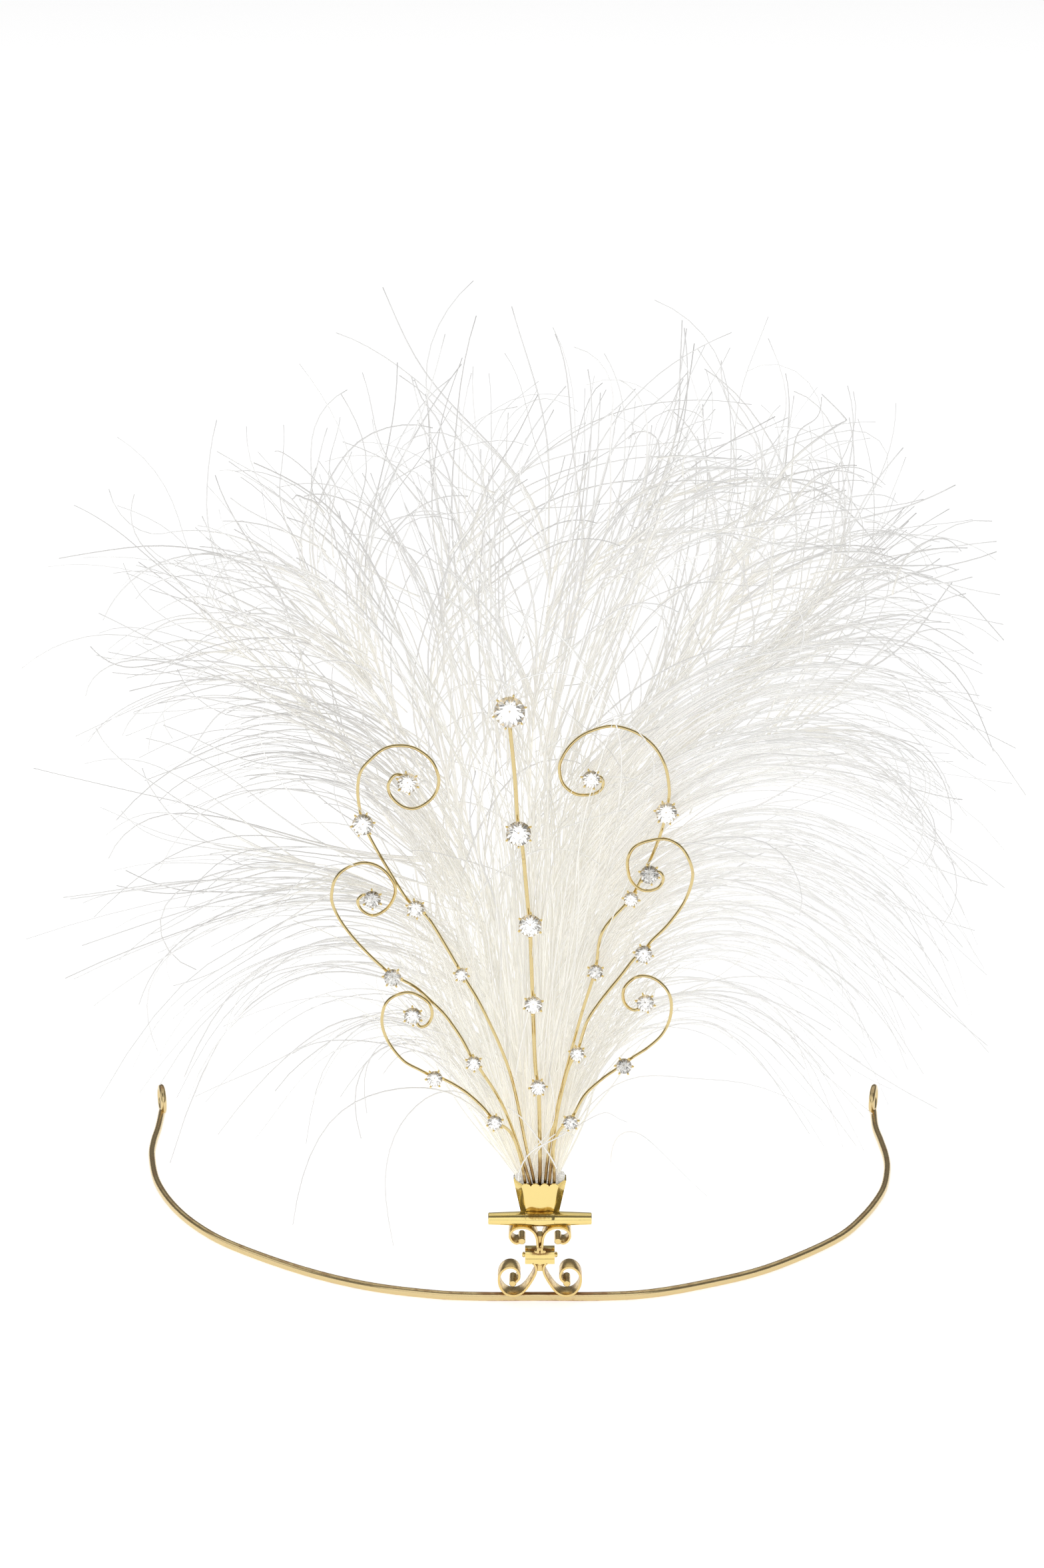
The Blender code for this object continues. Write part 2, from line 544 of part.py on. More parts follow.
def build_holder(mat, parent):
    outline = [(FRONT, LEAF_TOP + SEAM)]
    radius = 0.7 * BLOCK_TOP
    for i in range(5):
        a = math.radians(180 - 22.5 * i)
        outline.append((FRONT + radius + radius * math.cos(a), BLOCK_TOP_Z - radius + radius * math.sin(a)))
    outline.append((BLOCK_REAR, BLOCK_TOP_Z))
    drop = PIN_Z - LEAF_TOP - SEAM
    end = -180 + math.degrees(math.asin(drop / BARREL_RADIUS))
    outline += arc(BARREL_RADIUS, 0, end, 10)
    block = extruded(outline, "X", -HINGE_WIDTH / 2, HINGE_WIDTH / 2)
    half = KNUCKLE_WIDTH / 2 + TURN_CLEARANCE
    slot = cylinder(BARREL_RADIUS + TURN_CLEARANCE / 2, 2 * half, (0, PIN_Y, PIN_Z), sides=24)
    block = boolean(block, [slot], "DIFFERENCE")
    scrolls = scroll_pair(UPPER_SCROLL, UPPER_BAR, UPPER_SCROLL_HALF_WIDTH, UPPER_SCROLL_HEIGHT, BLOCK_TOP_Z)
    # the strips stop above the barrel, so that they clear the leaf as it folds
    under = box((-HINGE_WIDTH, PIN_Y, LEAF_BOTTOM), (HINGE_WIDTH, SCROLL_DEPTH, BLOCK_TOP_Z - STRIP / 2))
    scrolls = [boolean(strip, [under], "DIFFERENCE") for strip in scrolls]
    web = 0.1 * UPPER_SCROLL_HALF_WIDTH
    reach = -FRONT - 0.05 * SCROLL_DEPTH
    crotch = BLOCK_TOP_Z + 0.5 * UPPER_SCROLL_HEIGHT
    scrolls.append(box((-web, -reach, BLOCK_TOP_Z - STRIP / 2), (web, reach, crotch)))
    sleeve = TUBE_SLEEVE / 2
    half = TUBE_LENGTH / 2
    profile = [(0, half), (TUBE_END_RADIUS, half), (TUBE_RADIUS - TUBE_STEP, sleeve), (TUBE_RADIUS, sleeve)]
    profile += [(r, -h) for r, h in profile[::-1]]
    place = Matrix.Translation((0, 0, TUBE_Z)) @ Matrix.Rotation(math.pi / 2, 4, "Y")
    tube = turned(profile, 16, place)
    # cup: outer skin less its hollow, then the scallops on the front rim
    rim = RIM_Z - SCALLOP_DEPTH
    outer = loft([cup_ring(*cup_width(z), z) for z in (CUP_BASE_Z, RIM_Z)])
    inner = []
    for z in (FLOOR_Z, RIM_Z + CUP_WALL):
        width, depth = cup_width(z)
        inner.append(cup_ring(width - 2 * CUP_WALL, depth - 2 * CUP_WALL, z))
    front = CUP_FRONT * CUP_RIM_WIDTH / 2
    panel = CUP_SETBACK - CUP_RIM_DEPTH / 2
    gap = box((-front, panel - CUP_WALL, rim), (front, panel + 2.5 * CUP_WALL, RIM_Z + CUP_WALL))
    lobe = front / SCALLOPS
    lobe_radius = 1.06 * max(lobe, SCALLOP_DEPTH)
    lobes = []
    for i in range(SCALLOPS):
        centre = ((2 * i + 1 - SCALLOPS) * lobe, panel, RIM_Z - lobe_radius)
        lobes.append(cylinder(lobe_radius, 8 * CUP_WALL, centre, "Y", 16))
    gap = boolean(gap, lobes, "DIFFERENCE")
    cup = boolean(outer, [loft(inner), gap], "DIFFERENCE")
    mesh = boolean(block, scrolls + [tube, cup])
    bore = cylinder(BORE_RADIUS, 2 * HINGE_WIDTH, (0, PIN_Y, PIN_Z), sides=14)
    mesh = boolean(mesh, [bore], "DIFFERENCE")
    return finish("holder", mesh, mat, parent)


def setting(place, radius):
    """Open collet with claws. Z is the stone's axis, and z = 0 is its girdle."""
    back = -0.9 * radius - STONE_GAP - CLAW_RADIUS * 1.6
    rim = -0.3 * radius - STONE_GAP
    profile = [(0, rim - 0.5 * radius), (0.70 * radius + STONE_GAP, rim),
               (0.72 * radius + 1.6 * CLAW_RADIUS + STONE_GAP, rim), (0.42 * radius, back), (0, back)]
    profile[0] = (0, -0.9 * radius - STONE_GAP)
    collet = turned(profile, 10, place)
    claws = []
    for i in range(CLAWS):
        a = 2 * math.pi * i / CLAWS
        out = Vector((math.cos(a), math.sin(a), 0))
        up = Vector((0, 0, 1))
        line = [
            out * (0.66 * radius + CLAW_RADIUS + STONE_GAP) + up * (-0.45 * radius),
            out * (radius + 1.3 * CLAW_RADIUS + STONE_GAP) - up * 0.05 * radius,
            out * (radius + 0.1 * CLAW_RADIUS) + up * (0.1 * radius + CLAW_RADIUS + STONE_GAP),
        ]
        claws.append(rod([place @ p for p in line], CLAW_RADIUS, 0))
    return boolean(collet, claws)


def brilliant(place, radius):
    """Old-cut stone with a table, 16 girdle facets and a point."""
    def ring(size, height, sides, turn=0.0):
        return [(size * math.cos(2 * math.pi * (i + turn) / sides),
                 size * math.sin(2 * math.pi * (i + turn) / sides), height) for i in range(sides)]

    bm = bmesh.new()
    table = [bm.verts.new(p) for p in ring(0.52 * radius, 0.33 * radius, 8, 0.5)]
    crown = [bm.verts.new(p) for p in ring(radius, 0.03 * radius, 16)]
    belt = [bm.verts.new(p) for p in ring(radius, -0.03 * radius, 16)]
    tip = bm.verts.new((0, 0, -0.9 * radius))
    bm.faces.new(table)
    for i in range(8):
        a, b, c = crown[2 * i], crown[2 * i + 1], crown[(2 * i + 2) % 16]
        bm.faces.new((a, b, table[i]))
        bm.faces.new((b, c, table[i]))
        bm.faces.new((c, table[(i + 1) % 8], table[i]))
    for i in range(16):
        j = (i + 1) % 16
        bm.faces.new((crown[j], crown[i], belt[i], belt[j]))
        bm.faces.new((belt[j], belt[i], tip))
    bmesh.ops.recalc_face_normals(bm, faces=bm.faces)
    bmesh.ops.transform(bm, matrix=place, verts=bm.verts)
    mesh = bpy.data.meshes.new("stone")
    bm.to_mesh(mesh)
    bm.free()
    return mesh


def build_spray(name, spec, gold, diamond, parent):
    """One wire from the cup's floor to its last stone, with its settings soldered on."""
    row = STEM_RADIUS if spec["forward"] < 1 else 0
    guide = []
    for z in (FLOOR_Z + SOCKET_GAP, RIM_Z):
        width, depth = cup_width(z)
        inner = CUP_FRONT * (width / 2 - CUP_WALL)
        guide.append((spec["root"] * inner, WIRE_Y + row + (CUP_RIM_DEPTH - depth) / 2, z))
    marks = []
    for i, (across, above) in enumerate(spec["path"]):
        ramp = min(1.0, (i + 1) / 3)
        y = WIRE_Y - ramp * spec["forward"] * SPRAY_LAYER
        guide.append((across * SPRAY_HEIGHT, y, RIM_Z + above * SPRAY_HEIGHT))
    share = 4
    path = smooth_path(guide, share)
    out = Vector((0, -math.cos(STONE_TILT), math.sin(STONE_TILT)))
    seat = out.to_track_quat("Z", "Y").to_matrix().to_4x4()
    settings = []
    for number, (index, size) in enumerate(spec["stones"], 1):
        radius = size * MM
        lift = 0.9 * radius + STONE_GAP + CLAW_RADIUS * 1.6 + 0.4 * spec["wire"]
        place = Matrix.Translation(path[(index + 2) * share] + out * lift) @ seat
        settings.append(setting(place, radius))
        marks.append((number, place, radius))
    seats = {(index + 2) * share for index, size in spec["stones"]}
    wire = rod(thinned(path, math.radians(20), 14 * MM, seats), spec["wire"], 1)
    finish(name, boolean(wire, settings), gold, parent)
    for number, place, radius in marks:
        finish(f"{name.replace('spray', 'stone')}_{number}", brilliant(place, radius), diamond, parent, 1)


def lock(points, width, thickness):
    """Tapered lock with a lens-shaped section, flat towards the front."""
    path = thinned(smooth_path(points), math.radians(14), 30 * MM)
    total = sum((b - a).length for a, b in zip(path, path[1:]))
    run = 0.0
    rings = []
    for i, point in enumerate(path):
        run += (point - path[i - 1]).length if i else 0.0
        share = run / total
        along = path[min(i + 1, len(path) - 1)] - path[max(i - 1, 0)]
        side = Vector((along.z, 0, -along.x)).normalized()
        swell = 0.12 + 0.88 * math.sin(math.pi * min(1, 0.25 + 0.72 * share))
        w = side * width * swell / 2
        t = Vector((0, thickness * (0.3 + 0.7 * swell) / 2, 0))
        rings.append([point + w, point + 0.4 * w + t, point - 0.4 * w + t,
                      point - w, point - 0.4 * w - t, point + 0.4 * w - t])
    return loft(rings)


def build_plume(mat, parent):
    """Core of the plume from the cup upward, with its locks."""
    rings = []
    for above, half, deep, lean in ((0, 0.019, 0.5, 0), (0.10, 0.030, 0.8, 0.02), (0.20, 0.045, 1.2, 0.05),
                                    (0.32, 0.058, 1.3, 0.09), (0.42, 0.040, 0.7, 0.13)):
        ring = []
        half_w = half * PLUME_HEIGHT
        half_d = deep * LOCK_THICKNESS
        y = PLUME_FRONT + half_d + lean * PLUME_DEPTH
        if above == 0:
            width, depth = cup_width(FLOOR_Z)
            front = PLUME_FRONT + (CUP_RIM_DEPTH - depth) / 2
            half_d = (CUP_SETBACK + depth / 2 - CUP_WALL - PLUME_GAP - front) / 2
            half_w = CUP_FRONT * (width / 2 - CUP_WALL)
            y = front + half_d
        z = FLOOR_Z + PLUME_GAP if above == 0 else RIM_Z + above * PLUME_HEIGHT
        for i in range(10):
            a = 2 * math.pi * i / 10
            ring.append(Vector((half_w * math.cos(a), y + half_d * math.sin(a), z)))
        rings.append(ring)
        if above == 0:
            mouth = PLUME_FRONT + 2 * half_d - y
            rings.append([Vector((p.x, p.y + mouth, RIM_Z)) for p in ring])
    core = loft(rings)
    locks = []
    for points, width in LOCKS:
        line = [(x * PLUME_HEIGHT, PLUME_FRONT + LOCK_THICKNESS * width + y * PLUME_DEPTH, RIM_Z + z * PLUME_HEIGHT)
                for x, z, y in points]
        locks.append(lock(line, LOCK_WIDTH * width, LOCK_THICKNESS * width))
    return finish("plume", boolean(core, locks), mat, parent)


for old in list(bpy.data.objects):
    bpy.data.objects.remove(old)
PARTS = bpy.data.collections.new("aigrette")
CUTTERS = bpy.data.collections.new("cutters")
bpy.context.scene.collection.children.link(PARTS)
bpy.context.scene.collection.children.link(CUTTERS)

hinge = bpy.data.objects.new("hinge_axis", None)
hinge.location = (0, PIN_Y, PIN_Z)
PARTS.objects.link(hinge)
bpy.context.view_layer.update()

gold_look = material("polished_gold", GOLD)
diamond_look = material("diamond", DIAMOND)
build_headband(material("satin_gold", PALE_GOLD))
build_pin(gold_look)
build_holder(gold_look, hinge)
for spray_name, spray in SPRAYS.items():
    build_spray(spray_name, spray, gold_look, diamond_look, hinge)
build_plume(material("egret", EGRET), hinge)
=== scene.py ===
"""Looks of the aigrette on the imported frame: gold, old-cut diamonds and a fan of fine barbs. Lengths in metres."""
import math

import bmesh
import bpy
import numpy as np
from mathutils import Matrix, Vector, noise


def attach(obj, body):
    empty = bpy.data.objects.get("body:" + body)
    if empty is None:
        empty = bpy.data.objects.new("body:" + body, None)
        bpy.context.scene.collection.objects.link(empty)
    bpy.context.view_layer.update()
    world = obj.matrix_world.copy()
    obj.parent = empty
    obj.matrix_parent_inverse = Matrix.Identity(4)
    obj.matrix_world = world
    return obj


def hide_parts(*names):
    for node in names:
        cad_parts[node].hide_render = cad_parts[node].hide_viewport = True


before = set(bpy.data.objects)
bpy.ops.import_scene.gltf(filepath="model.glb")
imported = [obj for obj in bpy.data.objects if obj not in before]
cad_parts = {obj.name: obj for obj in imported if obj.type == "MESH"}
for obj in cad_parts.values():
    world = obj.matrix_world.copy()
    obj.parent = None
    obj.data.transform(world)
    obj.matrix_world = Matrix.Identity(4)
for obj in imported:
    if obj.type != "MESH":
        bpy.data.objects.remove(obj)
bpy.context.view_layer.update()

MM = 0.001
BACK = Vector((0, 1, 0))
UP = Vector((0, 0, 1))

# Headband
BAND_WIDTH = 1.35 * MM
BAND_HEIGHT = 1.75 * MM
BAND_CORNER = 0.655 * MM
BAND_HALF_SPAN = 75.0 * MM
BAND_DEPTH = 78.5 * MM
EYE_RADIUS = 2.5 * MM
EYE_WIRE = 1.3 * MM
EYE_TURN = math.radians(12)

# Scrolls
SCROLL_DEPTH = 3.4 * MM
STRIP = 0.45 * MM
STRIP_CORNER = 0.09 * MM
BAR_RADIUS = 0.68 * MM
BAR_EDGE = 0.12 * MM
LOWER_SCROLL_HEIGHT = 7.0 * MM
LOWER_SCROLL_HALF_WIDTH = 8.0 * MM
UPPER_SCROLL_HEIGHT = 4.9 * MM
UPPER_SCROLL_HALF_WIDTH = 5.9 * MM

# Hinge
EDGE = 0.05 * MM
HINGE_WIDTH = 5.6 * MM
LEAF_THICKNESS = 1.05 * MM
SEAM = 0.08 * MM
PIN_RADIUS = 0.36 * MM
PIN_HEAD = 0.52 * MM
PIN_HEAD_RADIUS = 0.55 * MM
PIN_HEAD_RIM = 0.12 * MM
PIN_SETBACK = 1.2 * MM
BARREL_RADIUS = 0.90 * MM
BLOCK_TOP = 1.45 * MM
KNUCKLE_WIDTH = 1.6 * MM
TURN_CLEARANCE = 0.08 * MM
PIN_BODY = "headband"

# Cross tube and cup
TUBE_LENGTH = 19.5 * MM
TUBE_RADIUS = 1.48 * MM
TUBE_END_RADIUS = 1.15 * MM
TUBE_SLEEVE = 5.5 * MM
TUBE_LIP = 0.09 * MM
TUBE_DISH = 0.3 * MM
CUP_HEIGHT = 7.0 * MM
CUP_RIM_WIDTH = 9.9 * MM
CUP_RIM_DEPTH = 5.2 * MM
CUP_BASE_WIDTH = 7.2 * MM
CUP_BASE_DEPTH = 2.6 * MM
CUP_SETBACK = 1.0 * MM
CUP_WALL = 0.4 * MM
CUP_FLOOR = 1.6 * MM
CUP_FRONT = 0.7
CUP_SIDE = 0.46
SCALLOPS = 4
SCALLOP_DEPTH = 0.8 * MM

# Sprays
SPRAY_HEIGHT = 100.0 * MM
SPRAY_LAYER = 1.0 * MM
WIRE_RADIUS = 0.29 * MM
STEM_RADIUS = 0.36 * MM
SOCKET_GAP = 0.1 * MM
STONE_GAP = 0.07 * MM
STONE_TILT = math.radians(15)
CLAW_RADIUS = 0.17 * MM
CLAWS = 6
BEAD_RADIUS = 0.55 * MM

# Plume: radii at the root, and points along a barb
BARB_RADIUS = 0.20 * MM
SHAFT_RADIUS = 0.22 * MM
BARB_POINTS = 20

# The lowest and the foremost that a barb reaches, in millimetres
LOWEST = 6
FOREMOST = -9

# Strength of the room's light and of the paper's own, and the camera
ROOM = 0.18
PAPER = 0.66
LENS = 100.0
CAMERA_PLACE = (-0.00338, -0.7306, 0.4010)
CAMERA_PITCH = math.radians(68)

# Outline of each half of the band from the front to the eye: shares of BAND_HALF_SPAN and BAND_DEPTH
BAND_LEFT = [
    (0, 0), (-0.15, 0), (-0.27, 0.01), (-0.44, 0.052), (-0.61, 0.132), (-0.79, 0.255), (-0.89, 0.355),
    (-0.965, 0.47), (-1.018, 0.6), (-1.043, 0.735), (-1.046, 0.82), (-1.04, 0.91), (-1.038, 1),
]
BAND_RIGHT = [
    (0.15, 0), (0.27, 0.012), (0.405, 0.055), (0.58, 0.137), (0.76, 0.282), (0.845, 0.4), (0.909, 0.54),
    (0.933, 0.655), (0.937, 0.74), (0.93, 0.83), (0.922, 0.91), (0.924, 1),
]

# Centre lines of the right-hand scrolls: shares of the scroll's half width and height
LOWER_SCROLL = [
    (0.17, 1.02), (0.105, 0.93), (0.085, 0.82), (0.115, 0.66), (0.22, 0.42), (0.36, 0.18), (0.5, 0.055),
    (0.65, 0.025), (0.81, 0.09), (0.93, 0.27), (0.97, 0.51), (0.92, 0.72), (0.81, 0.85), (0.675, 0.885),
    (0.555, 0.82), (0.49, 0.68), (0.495, 0.54), (0.565, 0.44),
]
LOWER_BAR = (0.64, 0.4)
UPPER_SCROLL = [
    (0.06, -0.12), (0.07, 0.1), (0.085, 0.34), (0.115, 0.57), (0.21, 0.79), (0.39, 0.94), (0.59, 0.975),
    (0.78, 0.93), (0.925, 0.78), (0.96, 0.58), (0.885, 0.39), (0.765, 0.3), (0.66, 0.32),
]
UPPER_BAR = (0.575, 0.4)

# Sprays: the root as a share of the cup's inner half width, the layers that the wire comes forward, its
# radius, its path in thousandths of SPRAY_HEIGHT (across, above the rim), and its stones (index along the
# path, radius in millimetres)
SPRAYS = {
    "spray_centre": (-0.02, 0.5, STEM_RADIUS, [
        (0, 41), (-2, 168), (-4, 203), (-9, 242), (-13, 340), (-13, 372), (-15, 406), (-18, 498), (-19, 532),
        (-23, 568), (-33, 683), (-40, 714), (-47, 823), (-55, 912), (-56, 950),
    ], [(2, 1.5), (5, 1.7), (8, 2.15), (11, 2.35), (14, 2.9)]),
    "spray_left_top": (-0.36, 0, WIRE_RADIUS, [
        (-26, 74), (-56, 227), (-104, 352), (-145, 430), (-201, 534), (-228, 562), (-249, 586), (-297, 674),
        (-322, 729), (-329, 764), (-331, 796), (-326, 827), (-311, 849), (-282, 874), (-253, 880), (-225, 874),
        (-198, 852), (-185, 821), (-187, 795), (-201, 773), (-226, 758), (-249, 761), (-269, 779), (-276, 801),
        (-266, 821), (-252, 823), (-240, 810),
    ], [(3, 1.25), (5, 1.65), (8, 2), (26, 1.9)]),
    "spray_right_top": (0.31, 0, WIRE_RADIUS, [
        (21, 100), (48, 230), (77, 350), (101, 436), (114, 514), (165, 581), (198, 652), (220, 714), (227, 752),
        (232, 776), (232, 801), (225, 839), (206, 876), (177, 902), (142, 916), (114, 916), (78, 902),
        (53, 880), (37, 852), (34, 830), (41, 805), (61, 787), (84, 784), (104, 790), (113, 804), (108, 819),
        (91, 817),
    ], [(3, 1.4), (5, 1.4), (8, 2), (26, 1.65)]),
    "spray_left_middle": (-0.6, 2.5, WIRE_RADIUS, [
        (-65, 152), (-110, 240), (-123, 262), (-146, 310), (-175, 356), (-202, 386), (-228, 412), (-254, 428),
        (-271, 436), (-287, 451), (-315, 480), (-345, 516), (-368, 552), (-380, 584), (-379, 609), (-373, 629),
        (-358, 647), (-331, 660), (-305, 659), (-282, 644), (-265, 615), (-268, 590), (-283, 568), (-306, 557),
        (-326, 568), (-333, 586), (-322, 598), (-306, 592),
    ], [(2, 1.4), (8, 1.65), (27, 1.65)]),
    "spray_right_middle": (0.55, 2.5, WIRE_RADIUS, [
        (31, 138), (51, 240), (68, 281), (86, 343), (111, 386), (146, 434), (172, 471), (188, 483), (203, 506),
        (233, 539), (262, 584), (276, 629), (272, 660), (257, 689), (236, 705), (215, 708), (185, 701),
        (167, 689), (158, 667), (159, 644), (165, 625), (180, 610), (197, 606), (215, 613), (223, 629),
        (216, 643), (197, 641),
    ], [(2, 1.4), (7, 1.65), (26, 1.75)]),
    "spray_left_low": (-0.88, 4.1, WIRE_RADIUS, [
        (-39, 66), (-56, 118), (-84, 148), (-110, 180), (-140, 209), (-175, 232), (-195, 238), (-223, 253),
        (-253, 272), (-279, 308), (-291, 345), (-287, 380), (-272, 400), (-245, 410), (-222, 403), (-204, 387),
        (-199, 364), (-208, 345), (-223, 342), (-234, 366),
    ], [(2, 1.4), (6, 1.5), (19, 1.65)]),
    "spray_right_low": (0.84, 4.1, WIRE_RADIUS, [
        (25, 79), (37, 123), (56, 148), (81, 199), (112, 232), (141, 255), (154, 264), (170, 278), (199, 299),
        (224, 325), (238, 357), (240, 391), (231, 416), (213, 435), (193, 443), (172, 439), (154, 419),
        (152, 396), (161, 380), (176, 375), (192, 392),
    ], [(2, 1.4), (6, 1.5), (20, 1.65)]),
}

# Sheaves of barbs: how many, depth at the roots and at the tips, then the guide points (x, z) of the first
# barb of the sheaf and of the last one, four each. All in millimetres.
SHEAVES = [
    (34, 5, 14, -31, 108, -46, 120, -66, 114, -71, 87, -58, 139, -64, 141, -70, 138, -75, 132),
    (14, 6, 12, -50, 129, -61, 139, -73, 142, -90, 147, -45, 125, -58, 138, -71, 144, -85, 152),
    (46, 6, 10, -23, 109, -35, 127, -56, 130, -74, 112, -40, 148, -45, 152, -53, 151, -60, 146),
    (34, 7, 16, -27, 119, -38, 137, -52, 152, -69, 159, -42, 157, -45, 163, -52, 163, -56, 165),
    (22, 7, 12, -30, 126, -35, 144, -41, 160, -44, 172, -40, 151, -38, 161, -36, 167, -32, 173),
    (52, 4, 8, -15, 101, -21, 133, -40, 147, -61, 143, -16, 110, -25, 139, -37, 157, -49, 168),
    (44, 6, 18, -14, 107, -19, 137, -30, 155, -40, 168, -12, 116, -16, 144, -25, 161, -26, 175),
    (34, 8, 16, -11, 112, -15, 137, -21, 155, -30, 168, -14, 156, -16, 162, -19, 169, -19, 178),
    (44, 6, 20, -10, 113, -13, 137, -16, 161, -13, 182, -6, 107, -6, 131, -9, 161, -6, 182),
    (38, 6, 14, -12, 133, -11, 151, -4, 170, 10, 171, -13, 156, -11, 166, -6, 177, -1, 185),
    (70, 4, 12, -15, 81, -26, 106, -52, 114, -76, 84, -15, 94, -23, 118, -47, 130, -79, 123),
    (60, 3, 10, -14, 75, -26, 103, -50, 112, -69, 88, -15, 88, -26, 116, -45, 123, -65, 112),
    (60, 3, 6, -10, 59, -26, 84, -50, 83, -80, 57, -14, 75, -26, 92, -56, 93, -94, 82),
    (56, 3, 12, -9, 50, -21, 71, -48, 77, -68, 43, -10, 61, -24, 78, -51, 80, -78, 41),
    (50, 2, 10, -8, 37, -16, 52, -31, 59, -34, 30, -9, 48, -21, 63, -45, 69, -64, 32),
    (5, 2, -6, -7, 34, -20, 50, -38, 56, -50, 23, -7, 32, -14, 50, -31, 51, -28, 10),
    (240, 2.5, 6, -5, 26, -9, 40, -19, 60, -26, 83, -2, 25, -3, 47, -6, 74, -11, 100),
    (260, 2.5, 5, -3, 25, -3, 48, -5, 81, -9, 116, 1, 25, 2, 48, 5, 74, 8, 107),
    (260, 2.5, 4, 1, 25, 2, 45, 8, 68, 18, 90, -1, 25, 1, 48, 3, 77, 6, 111),
    (90, 2.5, 8, -6, 26, -10, 39, -20, 52, -31, 62, -5, 26, -9, 41, -19, 60, -29, 75),
    (90, 2.5, 8, 2, 26, 5, 39, 14, 52, 26, 62, 1, 26, 4, 44, 11, 63, 21, 78),
    (50, 4, 16, -3, 108, 1, 132, 7, 162, 6, 190, 2, 114, 7, 138, 10, 162, 16, 173),
    (60, 5, 18, 3, 107, 11, 138, 18, 154, 26, 182, 7, 107, 17, 138, 24, 159, 32, 178),
    (90, 5, 10, 5, 114, 16, 141, 32, 151, 50, 141, 22, 164, 27, 169, 34, 169, 41, 165),
    (46, 8, 22, 11, 99, 23, 130, 30, 150, 23, 166, 17, 106, 32, 136, 42, 160, 37, 176),
    (36, 8, 16, 29, 132, 40, 150, 45, 164, 38, 178, 45, 161, 46, 169, 51, 173, 52, 176),
    (90, 6, 14, 17, 113, 32, 140, 53, 146, 74, 128, 43, 164, 49, 169, 57, 170, 62, 166),
    (70, 5, 16, 20, 103, 41, 132, 62, 149, 75, 164, 23, 107, 44, 134, 65, 143, 83, 148),
    (80, 5, 10, 23, 107, 44, 132, 68, 138, 81, 117, 56, 148, 64, 151, 74, 149, 83, 137),
    (200, 3, 8, 8, 88, 23, 116, 53, 129, 76, 106, 6, 101, 18, 127, 46, 139, 77, 131),
    (240, 2, 4, 8, 75, 23, 108, 53, 117, 77, 88, 7, 89, 20, 117, 52, 127, 78, 106),
    (200, 2, 6, 8, 65, 22, 91, 47, 94, 72, 55, 7, 75, 22, 104, 51, 111, 76, 80),
    (120, 2, 10, 7, 54, 21, 77, 45, 80, 67, 39, 7, 66, 22, 91, 50, 94, 75, 53),
    (90, 2, 12, 6, 43, 18, 60, 38, 65, 49, 29, 6, 54, 20, 75, 45, 79, 71, 36),
    (6, -3, -5, -1, 29, -6, 37, -11, 46, -16, 43, 2, 30, 5, 39, -1, 46, -6, 52),
    (5, -3, -5, 0, 30, -1, 34, 7, 38, 11, 39, -3, 31, 1, 37, 11, 44, 18, 43),
    (5, 1, -4, 5, 32, 15, 41, 19, 30, 28, 31, 5, 35, 15, 49, 33, 56, 50, 33),
]

# Larger feathers: barbs, their length, opening and curl, droop, where they start, and the shaft as
# (x, z, depth) in millimetres from the core to the tip
FEATHERS = [
    (40, 70, 0.36, 0.59, 0.72, 0.1, [
        (-3, 55, 4), (-14, 82, 6), (-26, 93, 6), (-34, 108, 8), (-43, 118, 9), (-50, 124, 10), (-56, 128, 11)]),
    (40, 66, 0.34, 0.59, 0.59, 0.05, [
        (-3, 60, 5), (-18, 92, 7), (-27, 113, 8), (-32, 123, 9), (-38, 134, 11), (-43, 141, 13)]),
    (40, 66, 0.34, 0.59, 0.39, 0.02, [
        (-2, 60, 5), (-14, 88, 8), (-24, 110, 9), (-30, 126, 10), (-33, 137, 12)]),
    (43, 62, 0.34, 0.68, 0.33, 0.02, [
        (-2, 60, 6), (-14, 95, 9), (-20, 114, 11), (-19, 126, 13), (-16, 140, 15), (-13, 148, 16)]),
    (43, 66, 0.42, 0.68, 1.04, 0.1, [
        (-1, 45, 2), (-12, 66, 3), (-24, 80, 4), (-37, 87, 5), (-48, 88, 6)]),
    (47, 64, 0.3, 0.51, 0.13, 0.02, [
        (0, 60, 4), (-2, 95, 6), (-1, 118, 8), (1, 134, 11), (3, 146, 14)]),
    (36, 58, 0.34, 0.77, 0.39, 0.05, [
        (0, 60, 5), (2, 112, 9), (5, 134, 12), (12, 146, 14), (20, 154, 16)]),
    (43, 62, 0.34, 0.59, 0.39, 0.05, [
        (1, 55, 5), (10, 90, 8), (22, 116, 11), (31, 130, 14), (37, 140, 16), (40, 147, 18)]),
    (43, 60, 0.34, 0.59, 0.59, 0.05, [
        (1, 50, 3), (12, 92, 5), (26, 114, 7), (40, 127, 9), (48, 134, 10), (54, 140, 12)]),
    (43, 60, 0.42, 0.77, 1.04, 0.1, [
        (1, 45, 2), (12, 82, 3), (24, 102, 4), (37, 111, 5), (47, 115, 6)]),
]

# How far the barbs reach from a place above the cup: degrees from the right, millimetres
FAN_CENTRE = (0, 60)
FAN = [
    (-90, 50), (-32, 66), (0, 79), (25, 89), (38, 104), (50, 125), (75, 127), (90, 131), (115, 120), (135, 121),
    (150, 101), (180, 84), (215, 68), (270, 50),
]

